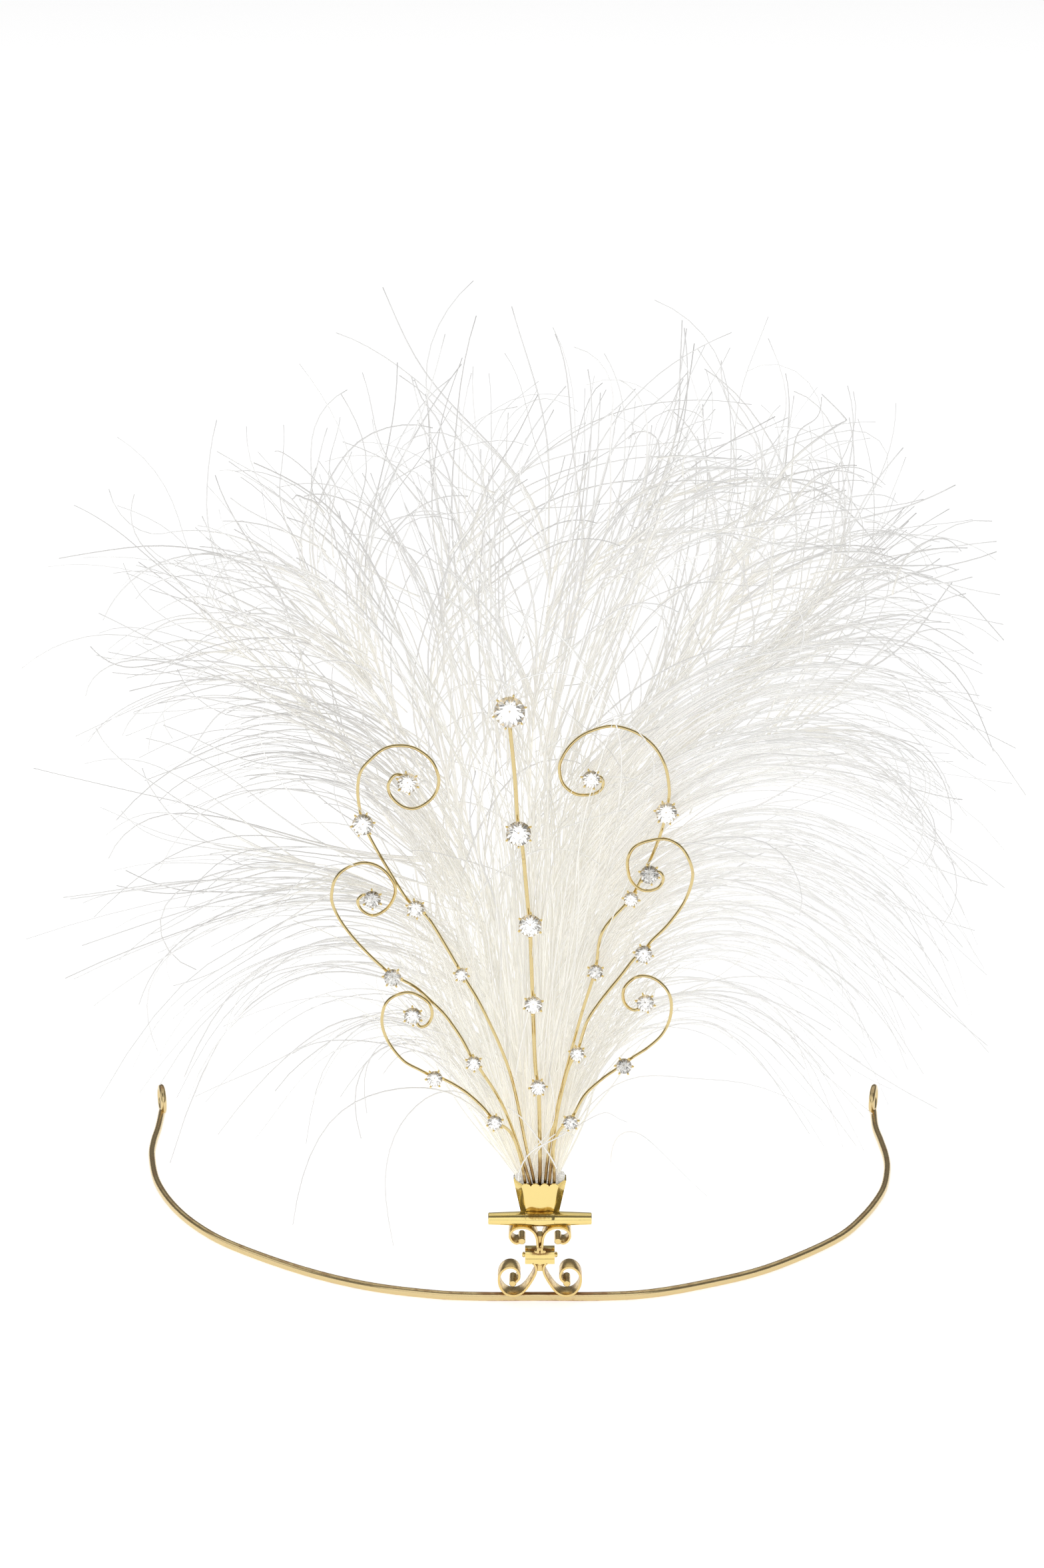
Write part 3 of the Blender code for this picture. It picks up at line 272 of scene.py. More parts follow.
# Heights and depths that follow from the sizes above
FRONT = -SCROLL_DEPTH / 2
SCROLL_FOOT = BAND_HEIGHT - 0.06 * MM
LEAF_BOTTOM = SCROLL_FOOT + LOWER_SCROLL_HEIGHT
LEAF_TOP = LEAF_BOTTOM + LEAF_THICKNESS
PIN_Y = FRONT + PIN_SETBACK
PIN_Z = LEAF_TOP + SEAM + 0.3 * BARREL_RADIUS
BLOCK_REAR = PIN_Y + BARREL_RADIUS
BLOCK_TOP_Z = PIN_Z + BLOCK_TOP
SCROLL_TOP = BLOCK_TOP_Z + UPPER_SCROLL_HEIGHT
TUBE_Z = SCROLL_TOP + TUBE_RADIUS - STRIP
CUP_BASE_Z = TUBE_Z + 0.75 * TUBE_RADIUS
RIM_Z = CUP_BASE_Z + CUP_HEIGHT
FLOOR_Z = CUP_BASE_Z + CUP_FLOOR
WIRE_Y = CUP_SETBACK - CUP_RIM_DEPTH / 2 + CUP_WALL + STEM_RADIUS + SOCKET_GAP


# Nodes

def feed(node, inputs):
    """Gives each input, by its name or number, a value or another node's socket."""
    for key, value in inputs.items():
        if isinstance(value, bpy.types.NodeSocket):
            node.id_data.links.new(value, node.inputs[key])
        else:
            node.inputs[key].default_value = value


def add(tree, kind, inputs, **settings):
    """New shader node with its settings and its inputs."""
    node = tree.nodes.new("ShaderNode" + kind)
    for key, value in settings.items():
        setattr(node, key, value)
    feed(node, inputs)
    return node


def maths(tree, operation, a, b=0.5, clamp=False):
    return add(tree, "Math", {0: a, 1: b}, operation=operation, use_clamp=clamp).outputs[0]


def plus(tree, a, b):
    return maths(tree, "ADD", a, b)


def times(tree, a, b):
    return maths(tree, "MULTIPLY", a, b)


def ranged(tree, value, low, high, to_low=0.0, to_high=1.0):
    """Smooth step from to_low at low to to_high at high."""
    inputs = {"Value": value, "From Min": low, "From Max": high, "To Min": to_low, "To Max": to_high}
    return add(tree, "MapRange", inputs, interpolation_type="SMOOTHSTEP").outputs["Result"]


def mixed(tree, factor, a, b):
    """Colour between a and b; each is a colour or a socket."""
    a, b = ((*colour, 1.0) if isinstance(colour, tuple) else colour for colour in (a, b))
    return add(tree, "Mix", {0: factor, 6: a, 7: b}, data_type="RGBA", clamp_factor=True).outputs[2]


def object_place(tree):
    return add(tree, "TexCoord", {}).outputs["Object"]


def facing(tree, axis):
    """Share of the surface's own direction along one axis."""
    return add(tree, "SeparateXYZ", {0: add(tree, "TexCoord", {}).outputs["Normal"]}).outputs[axis]


def clouds(tree, place, scale, detail, roughness=0.5, distortion=0.0):
    inputs = {"Vector": place, "Scale": scale, "Detail": detail, "Roughness": roughness, "Distortion": distortion}
    return add(tree, "TexNoise", inputs).outputs["Fac"]


def bumped(tree, height, strength, distance):
    return add(tree, "Bump", {"Height": height, "Strength": strength, "Distance": distance}).outputs[0]


def new_group(name, inputs, outputs):
    """Shader group with inputs (name, socket type, default) and outputs that are all numbers."""
    group = bpy.data.node_groups.new(name, "ShaderNodeTree")
    for label, kind, default in inputs:
        group.interface.new_socket(label, in_out="INPUT", socket_type=kind).default_value = default
    for label in outputs:
        group.interface.new_socket(label, in_out="OUTPUT", socket_type="NodeSocketFloat")
    return group, group.nodes.new("NodeGroupInput").outputs, group.nodes.new("NodeGroupOutput")


def make_handling_marks():
    """Smears and hairline scratches of metal that has been handled and wiped."""
    group, given, out = new_group("handling marks", [("Scale", "NodeSocketFloat", 1.0)],
                                  ["Smear", "Scratches", "Height"])
    scaled = {"Vector": object_place(group), "Scale": given["Scale"]}
    place = add(group, "VectorMath", scaled, operation="SCALE").outputs[0]
    fine = clouds(group, place, 2600.0, 3.0, 0.55)
    lined = add(group, "Mapping", {"Vector": place, "Rotation": (0.4, 0.7, 0.9), "Scale": (250.0, 9000.0, 900.0)})
    scratches = ranged(group, clouds(group, lined.outputs[0], 1.0, 2.0, 0.4), 0.66, 0.72)
    height = maths(group, "SUBTRACT", times(group, fine, 0.5), times(group, scratches, 0.5))
    feed(out, {"Smear": clouds(group, place, 420.0, 4.0, 0.6), "Scratches": scratches, "Height": height})
    return group


def make_tarnish():
    """Brown patches where the metal is tarnished, heavier where Amount is high; some golds also feed painted shade
    into Amount.
    """
    group, given, out = new_group("tarnish_and_shade", [("Amount", "NodeSocketFloat", 0.3)], ["Mask"])
    place = object_place(group)
    broad = times(group, clouds(group, place, 520.0, 5.0, 0.62), 0.7)
    spots = times(group, clouds(group, place, 2100.0, 4.0, 0.7), 0.3)
    lifted = plus(group, plus(group, broad, spots), maths(group, "SUBTRACT", given["Amount"], 0.5))
    feed(out, {"Mask": ranged(group, lifted, 0.32, 0.68)})
    return group


def make_near():
    """1 near a place on the object, fading to 0 at Reach."""
    vector = "NodeSocketVector"
    sockets = [("Place", vector, (0, 0, 0)), ("Stretch", vector, (1, 1, 1)), ("Reach", "NodeSocketFloat", 0.003)]
    group, given, out = new_group("near a joint", sockets, ["Mask"])
    away = add(group, "VectorMath", {0: object_place(group), 1: given["Place"]}, operation="SUBTRACT")
    squeezed = add(group, "VectorMath", {0: away.outputs[0], 1: given["Stretch"]}, operation="MULTIPLY")
    length = add(group, "VectorMath", {0: squeezed.outputs[0]}, operation="LENGTH")
    share = maths(group, "DIVIDE", length.outputs["Value"], given["Reach"])
    feed(out, {"Mask": ranged(group, share, 0.2, 1.0, 1.0, 0.0)})
    return group


MARKS = make_handling_marks()
TARNISH = make_tarnish()
NEAR = make_near()


# Materials

def new_material(name):
    mat = bpy.data.materials.new(name)
    mat.use_nodes = True
    return mat, mat.node_tree, mat.node_tree.nodes["Principled BSDF"]


def gold(name, clean, dull, roughness, tarnish_and_shade, joints=(), polished_front=0.0, edges=0.0):
    """Worn gold: a clean colour that turns brown where tarnished, more at the joints (place, stretch, reach,
    strength), wiped bright on the front, and with painted shade in the same brown on the upper and lower edges."""
    mat, tree, shader = new_material(name)
    marks = add(tree, "Group", {}, node_tree=MARKS).outputs
    for place, stretch, reach, strength in joints:
        near = add(tree, "Group", {"Place": place, "Stretch": stretch, "Reach": reach}, node_tree=NEAR)
        tarnish_and_shade = plus(tree, tarnish_and_shade, times(tree, near.outputs[0], strength))
    if polished_front:
        front = ranged(tree, facing(tree, "Y"), -0.97, -0.6, 1.0, 0.0)
        tarnish_and_shade = maths(tree, "SUBTRACT", tarnish_and_shade, times(tree, front, polished_front))
    # Painted shade: the same brown on faces that look up or down, darkening the upper and lower edges.
    if edges:
        painted_edge_shade_mask = ranged(tree, maths(tree, "ABSOLUTE", facing(tree, "Z")), 0.25, 0.85)
        tarnish_and_shade = plus(tree, tarnish_and_shade, times(tree, painted_edge_shade_mask, edges))
    tarnish_and_shade_mask = add(tree, "Group", {"Amount": tarnish_and_shade}, node_tree=TARNISH).outputs[0]
    rough = plus(tree, times(tree, marks["Smear"], 0.10), roughness - 0.05)
    rough = plus(tree, rough, times(tree, tarnish_and_shade_mask, 0.16))
    rough = maths(tree, "ADD", rough, times(tree, marks["Scratches"], 0.05), clamp=True)
    feed(shader, {"Base Color": mixed(tree, tarnish_and_shade_mask, clean, dull), "Metallic": 1.0, "Roughness": rough,
                  "Normal": bumped(tree, marks["Height"], 0.12, 0.02 * MM)})
    mat.diffuse_color = (*clean, 1.0)
    return mat


def diamond():
    """Colourless stone; facets picked at random get a painted grey or a painted flash of glow, standing in for the
    dark reflections and sparkle of an old cut.
    """
    mat, tree, shader = new_material("diamond")
    facet = add(tree, "Attribute", {}, attribute_name="facet").outputs["Fac"]
    grey = ranged(tree, facet, 0.05, 0.45)
    # Painted reflections: the facet value darkens some facets to grey and makes some glow.
    feed(shader, {"Base Color": mixed(tree, grey, (0.47, 0.46, 0.43), (1.0, 0.995, 0.98)),
                  "Roughness": ranged(tree, facet, 0.0, 1.0, 0.02, 0.0), "Transmission Weight": 1.0, "IOR": 1.95,
                  "Emission Color": (1, 0.98, 0.94, 1),
                  "Emission Strength": ranged(tree, facet, 0.4, 0.9, 0.0, 0.14)})
    return mat


def feather(name, light, shade, cream, painted_glow):
    """Barb: each has its own tone between a light colour and a painted shade colour, creamier towards its root; a
    painted glow in its colour stands in for light coming through it.
    """
    mat, tree, shader = new_material(name)
    tone, along = (add(tree, "Attribute", {}, attribute_name=key).outputs["Fac"] for key in ("tone", "along"))
    grain = clouds(tree, object_place(tree), 900.0, 3.0, 0.6)
    root = times(tree, ranged(tree, along, 0.0, 0.6, 1.0, 0.0), ranged(tree, grain, 0.3, 0.7, 0.6, 1.0))
    colour = mixed(tree, root, mixed(tree, tone, light, shade), cream)
    # Painted glow: the barb's own colour given off as light.
    feed(shader, {"Base Color": colour, "Emission Color": colour, "Emission Strength": painted_glow,
                  "Roughness": ranged(tree, grain, 0.3, 0.7, 0.5, 0.72), "Specular IOR Level": 0.3,
                  "Normal": bumped(tree, grain, 0.2, 0.03 * MM)})
    return mat


def plain_cloth():
    """Crinkled pale wrapping round the feet of the feathers, with painted shade in the low parts of its folds and a
    faint painted glow.
    """
    mat, tree, shader = new_material("wrapping")
    folds_and_shade = clouds(tree, object_place(tree), 1500.0, 5.0, 0.65, 1.2)
    # Painted shade: darker where the bump sinks into a fold.
    colour = mixed(tree, ranged(tree, folds_and_shade, 0.35, 0.65), (0.78, 0.76, 0.70), (0.95, 0.94, 0.91))
    # Painted glow: the cloth gives off a little light.
    feed(shader, {"Base Color": colour, "Emission Color": (0.95, 0.93, 0.88, 1), "Emission Strength": 0.22,
                  "Roughness": ranged(tree, folds_and_shade, 0.3, 0.7, 0.45, 0.7),
                  "Normal": bumped(tree, folds_and_shade, 0.8, 0.2 * MM)})
    return mat


CLEAN_GOLD = (0.87, 0.69, 0.28)
PALE_GOLD = (0.70, 0.55, 0.29)
BROWN = (0.30, 0.17, 0.06)

# The band's edges setting adds painted shade in brown to its upper and lower edges.
BAND_GOLD = gold("band gold", PALE_GOLD, (0.40, 0.23, 0.11), 0.22, 0.04,
                 [((-0.0065, 0, 0.0012), (0.6, 1, 1), 0.0045, 0.26),
                  ((0.0055, 0, 0.0016), (0.45, 1, 1), 0.005, 0.26)], edges=0.40)
SCROLL_GOLD = gold("scroll gold", (0.80, 0.60, 0.26), (0.36, 0.21, 0.07), 0.22, 0.46,
                   [((0, 0, LEAF_BOTTOM - 0.0012), (1, 0.3, 1), 0.0022, 0.35)], polished_front=0.55)
# Hinge: the brown at the top of the block is partly real darkening at the solder joint and partly a painted dark
# reflection.
HINGE_GOLD = gold("hinge gold", CLEAN_GOLD, BROWN, 0.16, 0.12,
                  [((0, FRONT, BLOCK_TOP_Z), (0.45, 0.6, 1), 0.0016, 0.75)])
CUP_GOLD = gold("cup gold", CLEAN_GOLD, (0.42, 0.25, 0.06), 0.10, 0.06,
                [((0, 0, CUP_BASE_Z), (0.22, 0.3, 1), 0.0015, 0.55)])
WIRE_GOLD = gold("wire gold", (0.70, 0.56, 0.28), (0.32, 0.19, 0.07), 0.15, 0.30,
                 [((0, 0, RIM_Z), (0.5, 0.5, 0.5), 0.004, 0.4)])
CLAW_GOLD = gold("claw gold", (0.90, 0.70, 0.30), (0.45, 0.30, 0.10), 0.18, 0.15)
DIAMOND = diamond()
# The last number of each feather material is the strength of its painted glow.
BARB = feather("barb", (0.95, 0.945, 0.93), (0.67, 0.66, 0.645), (0.92, 0.90, 0.84), 0.22)
CORE_BARB = feather("core barb", (0.95, 0.94, 0.90), (0.74, 0.72, 0.66), (0.92, 0.89, 0.80), 0.28)
SHAFT = feather("shaft", (0.93, 0.92, 0.88), (0.85, 0.83, 0.77), (0.88, 0.83, 0.70), 0.22)
WRAPPING = plain_cloth()


# Modelling

def smooth_path(points, share=6):
    """Smooth curve through the points."""
    points = [Vector(p) for p in points]
    ends = [points[0] * 2 - points[1], *points, points[-1] * 2 - points[-2]]
    curve = []
    for a, b, c, d in zip(ends, ends[1:], ends[2:], ends[3:]):
        for i in range(share):
            t = i / share
            curve.append(0.5 * (2 * b + (c - a) * t + (2 * a - 5 * b + 4 * c - d) * t * t
                                + (3 * b - a - 3 * c + d) * t ** 3))
    return [*curve, points[-1]]


def places_along(path, up, scales=None):
    """A place at each point of the path: its Z runs along the path and its Y stays near up."""
    places = []
    for i, point in enumerate(path):
        along = (path[min(i + 1, len(path) - 1)] - path[max(i - 1, 0)]).normalized()
        side = up.cross(along).normalized()
        place = Matrix((side, along.cross(side), along)).transposed().to_4x4()
        size = scales[i] if scales else 1.0
        places.append(Matrix.Translation(point) @ place @ Matrix.Diagonal((size, size, 1, 1)))
    return places


def crosswise(y, z):
    """Place on the middle plane whose Z runs along X."""
    return Matrix.Translation((0, y, z)) @ Matrix.Rotation(math.pi / 2, 4, "Y")


def mirrored(profile):
    """Profile of (radius, height), then its mirror image below."""
    return profile + [(r, -h) for r, h in profile[::-1]]


def pulled(bm, face, first=False):
    """Face pulled off its place; the face it leaves stays only where it closes the first end."""
    made = bmesh.ops.extrude_face_region(bm, geom=[face])["geom"]
    if not first:
        bm.faces.remove(face)
    return next(f for f in made if isinstance(f, bmesh.types.BMFace))


def sweep(bm, section, places):
    """Section drawn in the XY of the first place, pulled from place to place."""
    face = bm.faces.new([bm.verts.new(places[0] @ Vector((a, b, 0))) for a, b in section])
    for number, (here, there) in enumerate(zip(places, places[1:])):
        face = pulled(bm, face, number == 0)
        bmesh.ops.transform(bm, matrix=there @ here.inverted(), verts=face.verts)


def circle(radius, sides):
    angles = [2 * math.pi * i / sides for i in range(sides)]
    return [(radius * math.cos(a), radius * math.sin(a)) for a in angles]


def rounded(half_w, half_h, corner, steps=2):
    """Rectangle with rounded corners."""
    outline = []
    for i, (cx, cy) in enumerate(((1, 1), (-1, 1), (-1, -1), (1, -1))):
        for j in range(steps + 1):
            a = math.pi / 2 * (i + j / steps)
            outline.append((cx * (half_w - corner) + corner * math.cos(a),
                            cy * (half_h - corner) + corner * math.sin(a)))
    return outline


def rod(bm, path, radius, sides=8, scales=None, up=BACK):
    sweep(bm, circle(radius, sides), places_along(path, up, scales))


def turn(bm, profile, place, steps=32):
    """Profile of (radius, height) spun about Z, then put in its place."""
    verts = [bm.verts.new((r, 0, h)) for r, h in profile]
    edges = [bm.edges.new(pair) for pair in zip(verts, verts[1:])]
    bmesh.ops.spin(bm, geom=verts + edges, cent=(0, 0, 0), axis=(0, 0, 1), angle=2 * math.pi, steps=steps,
                   use_merge=True)
    fresh, todo = set(verts), list(verts)
    while todo:
        for edge in todo.pop().link_edges:
            for v in edge.verts:
                if v not in fresh:
                    fresh.add(v)
                    todo.append(v)
    fresh = list(fresh)
    bmesh.ops.transform(bm, matrix=place, verts=fresh)
    bmesh.ops.remove_doubles(bm, verts=fresh, dist=1e-7)


def pull(bm, outline, low, high, bevel=0.0):
    """Outline of (y, z) pulled along X, its end edges rounded."""
    face = bm.faces.new([bm.verts.new((low, y, z)) for y, z in outline])
    before = face.verts[:]
    moved = pulled(bm, face, True).verts[:]
    bmesh.ops.translate(bm, verts=moved, vec=(high - low, 0, 0))
    if bevel:
        ring = {e for group in (before, moved) for v in group for e in v.link_edges
                if all(w in group for w in e.verts)}
        bmesh.ops.bevel(bm, geom=list(ring), offset=bevel, affect="EDGES", segments=2, profile=0.5, material=-1)


def block(bm, low, high, bevel):
    outline = [(low[1], low[2]), (high[1], low[2]), (high[1], high[2]), (low[1], high[2])]
    pull(bm, outline, low[0], high[0], bevel)


def to_mesh(bm, name, angle=35):
    """Mesh of a finished bmesh, smooth apart from edges sharper than the angle in degrees."""
    bmesh.ops.remove_doubles(bm, verts=bm.verts, dist=1e-7)
    bmesh.ops.recalc_face_normals(bm, faces=bm.faces)
    mesh = bpy.data.meshes.new(name)
    bm.to_mesh(mesh)
    bm.free()
    mesh.shade_smooth()
    if angle:
        mesh.set_sharp_from_angle(angle=math.radians(angle))
    return mesh


def piece(name, mesh, body, material, node):
    """Finished piece: it rides on its body, stands in for a CAD node, which it hides, and takes the given material.
    """
    if isinstance(mesh, bmesh.types.BMesh):
        mesh = to_mesh(mesh, name)
    obj = bpy.data.objects.new(name, mesh)
    bpy.context.scene.collection.objects.link(obj)
    mesh.materials.append(material)
    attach(obj, body)
    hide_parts(node)


# Headband

def make_band():
    """Band of flat-fronted wire, its edges rounded over, with an eye on each end."""
    bm = bmesh.new()
    points = [(x * BAND_HALF_SPAN, y * BAND_DEPTH, BAND_HEIGHT / 2) for x, y in BAND_LEFT[::-1] + BAND_RIGHT]
    path = smooth_path(points, 5)
    sweep(bm, rounded(BAND_WIDTH / 2, BAND_HEIGHT / 2, BAND_CORNER, 5), places_along(path, UP))
    lift = EYE_RADIUS + EYE_WIRE / 2
    reach = math.sqrt(EYE_RADIUS ** 2 - (lift - BAND_HEIGHT) ** 2)
    ring = [(EYE_RADIUS + a, b) for a, b in circle(EYE_WIRE / 2, 12)]
    for end, side in ((path[0], 1), (path[-1], -1)):
        place = Matrix.Translation((end.x, end.y + reach - BAND_WIDTH * 0.3, lift))
        place = place @ Matrix.Rotation(side * EYE_TURN, 4, "Z") @ Matrix.Rotation(math.pi / 2, 4, "Y")
        turn(bm, ring + ring[:1], place, 40)
    piece("band_wire", bm, "headband", BAND_GOLD, "headband")


def scroll_pair(outline, bar, half_width, height, foot):
    """Two flat strips, curled at their ends, with a round bar in each curl."""
    bm = bmesh.new()
    half = SCROLL_DEPTH * 0.51
    profile = mirrored([(0, half), (BAR_RADIUS - BAR_EDGE, half), (BAR_RADIUS, half - BAR_EDGE)])
    for side in (-1, 1):
        path = smooth_path([(side * a * half_width, 0, foot + b * height) for a, b in outline])
        sweep(bm, rounded(STRIP / 2, SCROLL_DEPTH / 2, STRIP_CORNER), places_along(path, BACK))
        centre = Matrix.Translation((side * bar[0] * half_width, 0, foot + bar[1] * height))
        turn(bm, profile, centre @ Matrix.Rotation(math.pi / 2, 4, "X"), 24)
    return bm


def solder(bm, height, drops):
    """Small uneven drops of solder where strips are joined; each is (x, y from the front, z, radius) in mm."""
    chance = np.random.default_rng(8)
    for x, y, z, radius in drops:
        centre = Vector((x * MM, FRONT + y * MM, height + z * MM))
        place = Matrix.Translation(centre) @ Matrix.Diagonal((1.0, 0.8, 0.9, 1))
        made = bmesh.ops.create_icosphere(bm, subdivisions=3, radius=radius * MM, matrix=place)
        shift = Vector(chance.uniform(-9, 9, 3))
        for v in made["verts"]:
            v.co += (v.co - centre) * 0.35 * noise.noise(v.co / (0.4 * MM) + shift)


def make_lower_scrolls():
    height, half_width = LOWER_SCROLL_HEIGHT, LOWER_SCROLL_HALF_WIDTH
    bm = scroll_pair(LOWER_SCROLL, LOWER_BAR, half_width, height, SCROLL_FOOT)
    neck = 0.1 * half_width
    block(bm, (-neck, FRONT + 0.14 * SCROLL_DEPTH, LEAF_BOTTOM - 0.25 * height),
          (neck, -FRONT - 0.05 * SCROLL_DEPTH, LEAF_BOTTOM + STRIP / 2), EDGE)
    solder(bm, LEAF_BOTTOM, [(0, 0.55, -0.1, 0.55), (-0.5, 0.5, 0, 0.35), (0.5, 0.5, 0, 0.35)])
    piece("lower_scrolls", bm, "headband", SCROLL_GOLD, "headband")


def arc(radius, start, end, steps):
    """Points (y, z) about the hinge's axis; degrees from +Y towards +Z."""
    angles = [math.radians(start + (end - start) * i / steps) for i in range(steps + 1)]
    return [(PIN_Y + radius * math.cos(a), PIN_Z + radius * math.sin(a)) for a in angles]


def make_leaf():
    """Leaf with a round pocket for the block's barrel, and its knuckle in the middle."""
    bm = bmesh.new()
    pocket = BARREL_RADIUS + TURN_CLEARANCE
    start = 180 + math.degrees(math.asin((PIN_Z - LEAF_TOP) / pocket))
    rear = BLOCK_REAR - TURN_CLEARANCE
    outline = [(FRONT, LEAF_BOTTOM), (FRONT, LEAF_TOP)] + arc(pocket, start, 310, 14)
    outline += [(rear, outline[-1][1] - TURN_CLEARANCE), (rear, LEAF_BOTTOM)]
    pull(bm, outline, -HINGE_WIDTH / 2, HINGE_WIDTH / 2, EDGE)
    half, radius = KNUCKLE_WIDTH / 2, BARREL_RADIUS - TURN_CLEARANCE
    turn(bm, mirrored([(0, half), (radius - EDGE, half), (radius, half - EDGE)]), crosswise(PIN_Y, PIN_Z), 28)
    foot = 0.5 * BARREL_RADIUS
    block(bm, (-half, PIN_Y - foot, LEAF_BOTTOM + STRIP), (half, PIN_Y + foot, PIN_Z), 0.0)
    piece("hinge_leaf", bm, "headband", HINGE_GOLD, "headband")


def make_pin():
    """Pin with domed heads."""
    shank = HINGE_WIDTH / 2 + TURN_CLEARANCE
    profile = [(PIN_RADIUS, shank), (PIN_HEAD_RADIUS * 0.92, shank)]
    for i in range(9):
        a = math.radians(11.25 * i)
        profile.append((PIN_HEAD_RADIUS * math.cos(a) if i < 8 else 0.0,
                        shank + PIN_HEAD_RIM + (PIN_HEAD - PIN_HEAD_RIM) * math.sin(a)))
    bm = bmesh.new()
    turn(bm, mirrored(profile[::-1]), crosswise(PIN_Y, PIN_Z), 24)
    piece("pin", bm, PIN_BODY, HINGE_GOLD, "hinge_pin")


# Holder

def make_hinge_block():
    """Block with a rounded front and a round barrel below, slotted for the knuckle."""
    bm = bmesh.new()
    radius = 0.7 * BLOCK_TOP
    outline = [(FRONT, LEAF_TOP + SEAM)]
    for i in range(9):
        a = math.radians(180 - 11.25 * i)
        outline.append((FRONT + radius + radius * math.cos(a), BLOCK_TOP_Z - radius + radius * math.sin(a)))
    outline.append((BLOCK_REAR, BLOCK_TOP_Z))
    end = -180 + math.degrees(math.asin((PIN_Z - LEAF_TOP - SEAM) / BARREL_RADIUS))
    outline += arc(BARREL_RADIUS, 0, end, 18)
    pull(bm, outline, -HINGE_WIDTH / 2, HINGE_WIDTH / 2, EDGE)
    cutter = bmesh.new()
    half = KNUCKLE_WIDTH / 2 + TURN_CLEARANCE
    radius = BARREL_RADIUS + TURN_CLEARANCE / 2
    turn(cutter, mirrored([(0, half), (radius, half)]), crosswise(PIN_Y, PIN_Z), 32)
    body = bpy.data.objects.new("block", to_mesh(bm, "hinge_block"))
    tool = bpy.data.objects.new("slot", to_mesh(cutter, "slot"))
    for obj in (tool, body):
        bpy.context.scene.collection.objects.link(obj)
    step = body.modifiers.new("slot", "BOOLEAN")
    step.operation, step.solver, step.object = "DIFFERENCE", "EXACT", tool
    bpy.context.view_layer.update()
    cut = bpy.data.meshes.new_from_object(body.evaluated_get(bpy.context.evaluated_depsgraph_get()))
    for obj in (tool, body):
        bpy.data.objects.remove(obj)
    cut.name = "hinge_block"
    piece("hinge_block", cut, "aigrette", HINGE_GOLD, "holder")


def make_upper_scrolls():
    """Upper scrolls; the front of each strip runs down over the hinge block."""
    height, half_width = UPPER_SCROLL_HEIGHT, UPPER_SCROLL_HALF_WIDTH
    bm = scroll_pair(UPPER_SCROLL[1:], UPPER_BAR, half_width, height, BLOCK_TOP_Z)
    web = 0.1 * half_width
    block(bm, (-web, FRONT + 0.34 * SCROLL_DEPTH, BLOCK_TOP_Z - STRIP / 2),
          (web, -FRONT - 0.05 * SCROLL_DEPTH, BLOCK_TOP_Z + 0.5 * height), EDGE)
    foot, drop = UPPER_SCROLL[0]
    for side in (-1, 1):
        x = side * foot * half_width
        block(bm, (x - STRIP / 2, FRONT, BLOCK_TOP_Z + drop * height),
              (x + STRIP / 2, FRONT + 0.2 * SCROLL_DEPTH, BLOCK_TOP_Z + 0.12 * height), EDGE)
    solder(bm, BLOCK_TOP_Z, [(-0.75, 0.35, -0.35, 0.42), (0.75, 0.35, -0.35, 0.42), (0, 0.6, 0.1, 0.5),
                             (0.25, 0.6, 0.6, 0.35)])
    piece("upper_scrolls", bm, "aigrette", SCROLL_GOLD, "holder")


def make_tube():
    """Cross tube that tapers outwards from a sleeve, with a dished plug in each end."""
    bm = bmesh.new()
    sleeve, half, dish = TUBE_SLEEVE / 2, TUBE_LENGTH / 2, TUBE_LENGTH / 2 - TUBE_DISH
    profile = [(0, dish), (TUBE_END_RADIUS - 0.32 * MM, dish), (TUBE_END_RADIUS - 0.24 * MM, half),
               (TUBE_END_RADIUS - TUBE_LIP, half), (TUBE_END_RADIUS, half - TUBE_LIP),
               (TUBE_RADIUS - 0.07 * MM, sleeve + 0.03 * MM), (TUBE_RADIUS - 0.03 * MM, sleeve),
               (TUBE_RADIUS, sleeve - 0.05 * MM)]
    turn(bm, mirrored(profile), crosswise(0, TUBE_Z), 48)
    piece("cross_tube", bm, "aigrette", CUP_GOLD, "holder")


def cup_width(z):
    """Width and depth of the cup at a height."""
    share = (z - CUP_BASE_Z) / CUP_HEIGHT
    return (CUP_BASE_WIDTH + (CUP_RIM_WIDTH - CUP_BASE_WIDTH) * share,
            CUP_BASE_DEPTH + (CUP_RIM_DEPTH - CUP_BASE_DEPTH) * share)


def dish_front(verts):
    """Presses the front panel in under a curved line."""
    for v in verts:
        share = (v.co.z - CUP_BASE_Z) / CUP_HEIGHT
        width, depth = cup_width(v.co.z)
        across = abs(v.co.x / (width * CUP_FRONT / 2))
        line = 0.24 + 0.42 * across ** 2.2
        in_front = abs(v.co.y - CUP_SETBACK + depth / 2) < 0.02 * MM and across < 1.001
        if share < min(0.75, line) and in_front:
            v.co.y += 0.17 * CUP_HEIGHT * (line - share) * (1 - 0.75 * across ** 4)


def scallop_rim(verts):
    """Cuts the scallops into the front of the rim, in the plane of the panel."""
    lobe = CUP_FRONT * CUP_RIM_WIDTH / 2 / SCALLOPS
    radius = 1.06 * max(lobe, SCALLOP_DEPTH)
    lean = (CUP_RIM_DEPTH - CUP_BASE_DEPTH) / 2 / CUP_HEIGHT
    for v in verts:
        in_front = v.co.z > RIM_Z - 0.01 * MM and v.co.y < CUP_SETBACK - CUP_RIM_DEPTH / 2 + 1.3 * CUP_WALL
        if in_front and abs(v.co.x) < SCALLOPS * lobe * 1.001:
            off = abs((v.co.x / (2 * lobe) + SCALLOPS / 2) % 1.0 - 0.5) * 2 * lobe
            dip = min(radius - math.sqrt(max(radius ** 2 - off ** 2, 0)), SCALLOP_DEPTH)
            v.co.z -= dip
            v.co.y += dip * lean


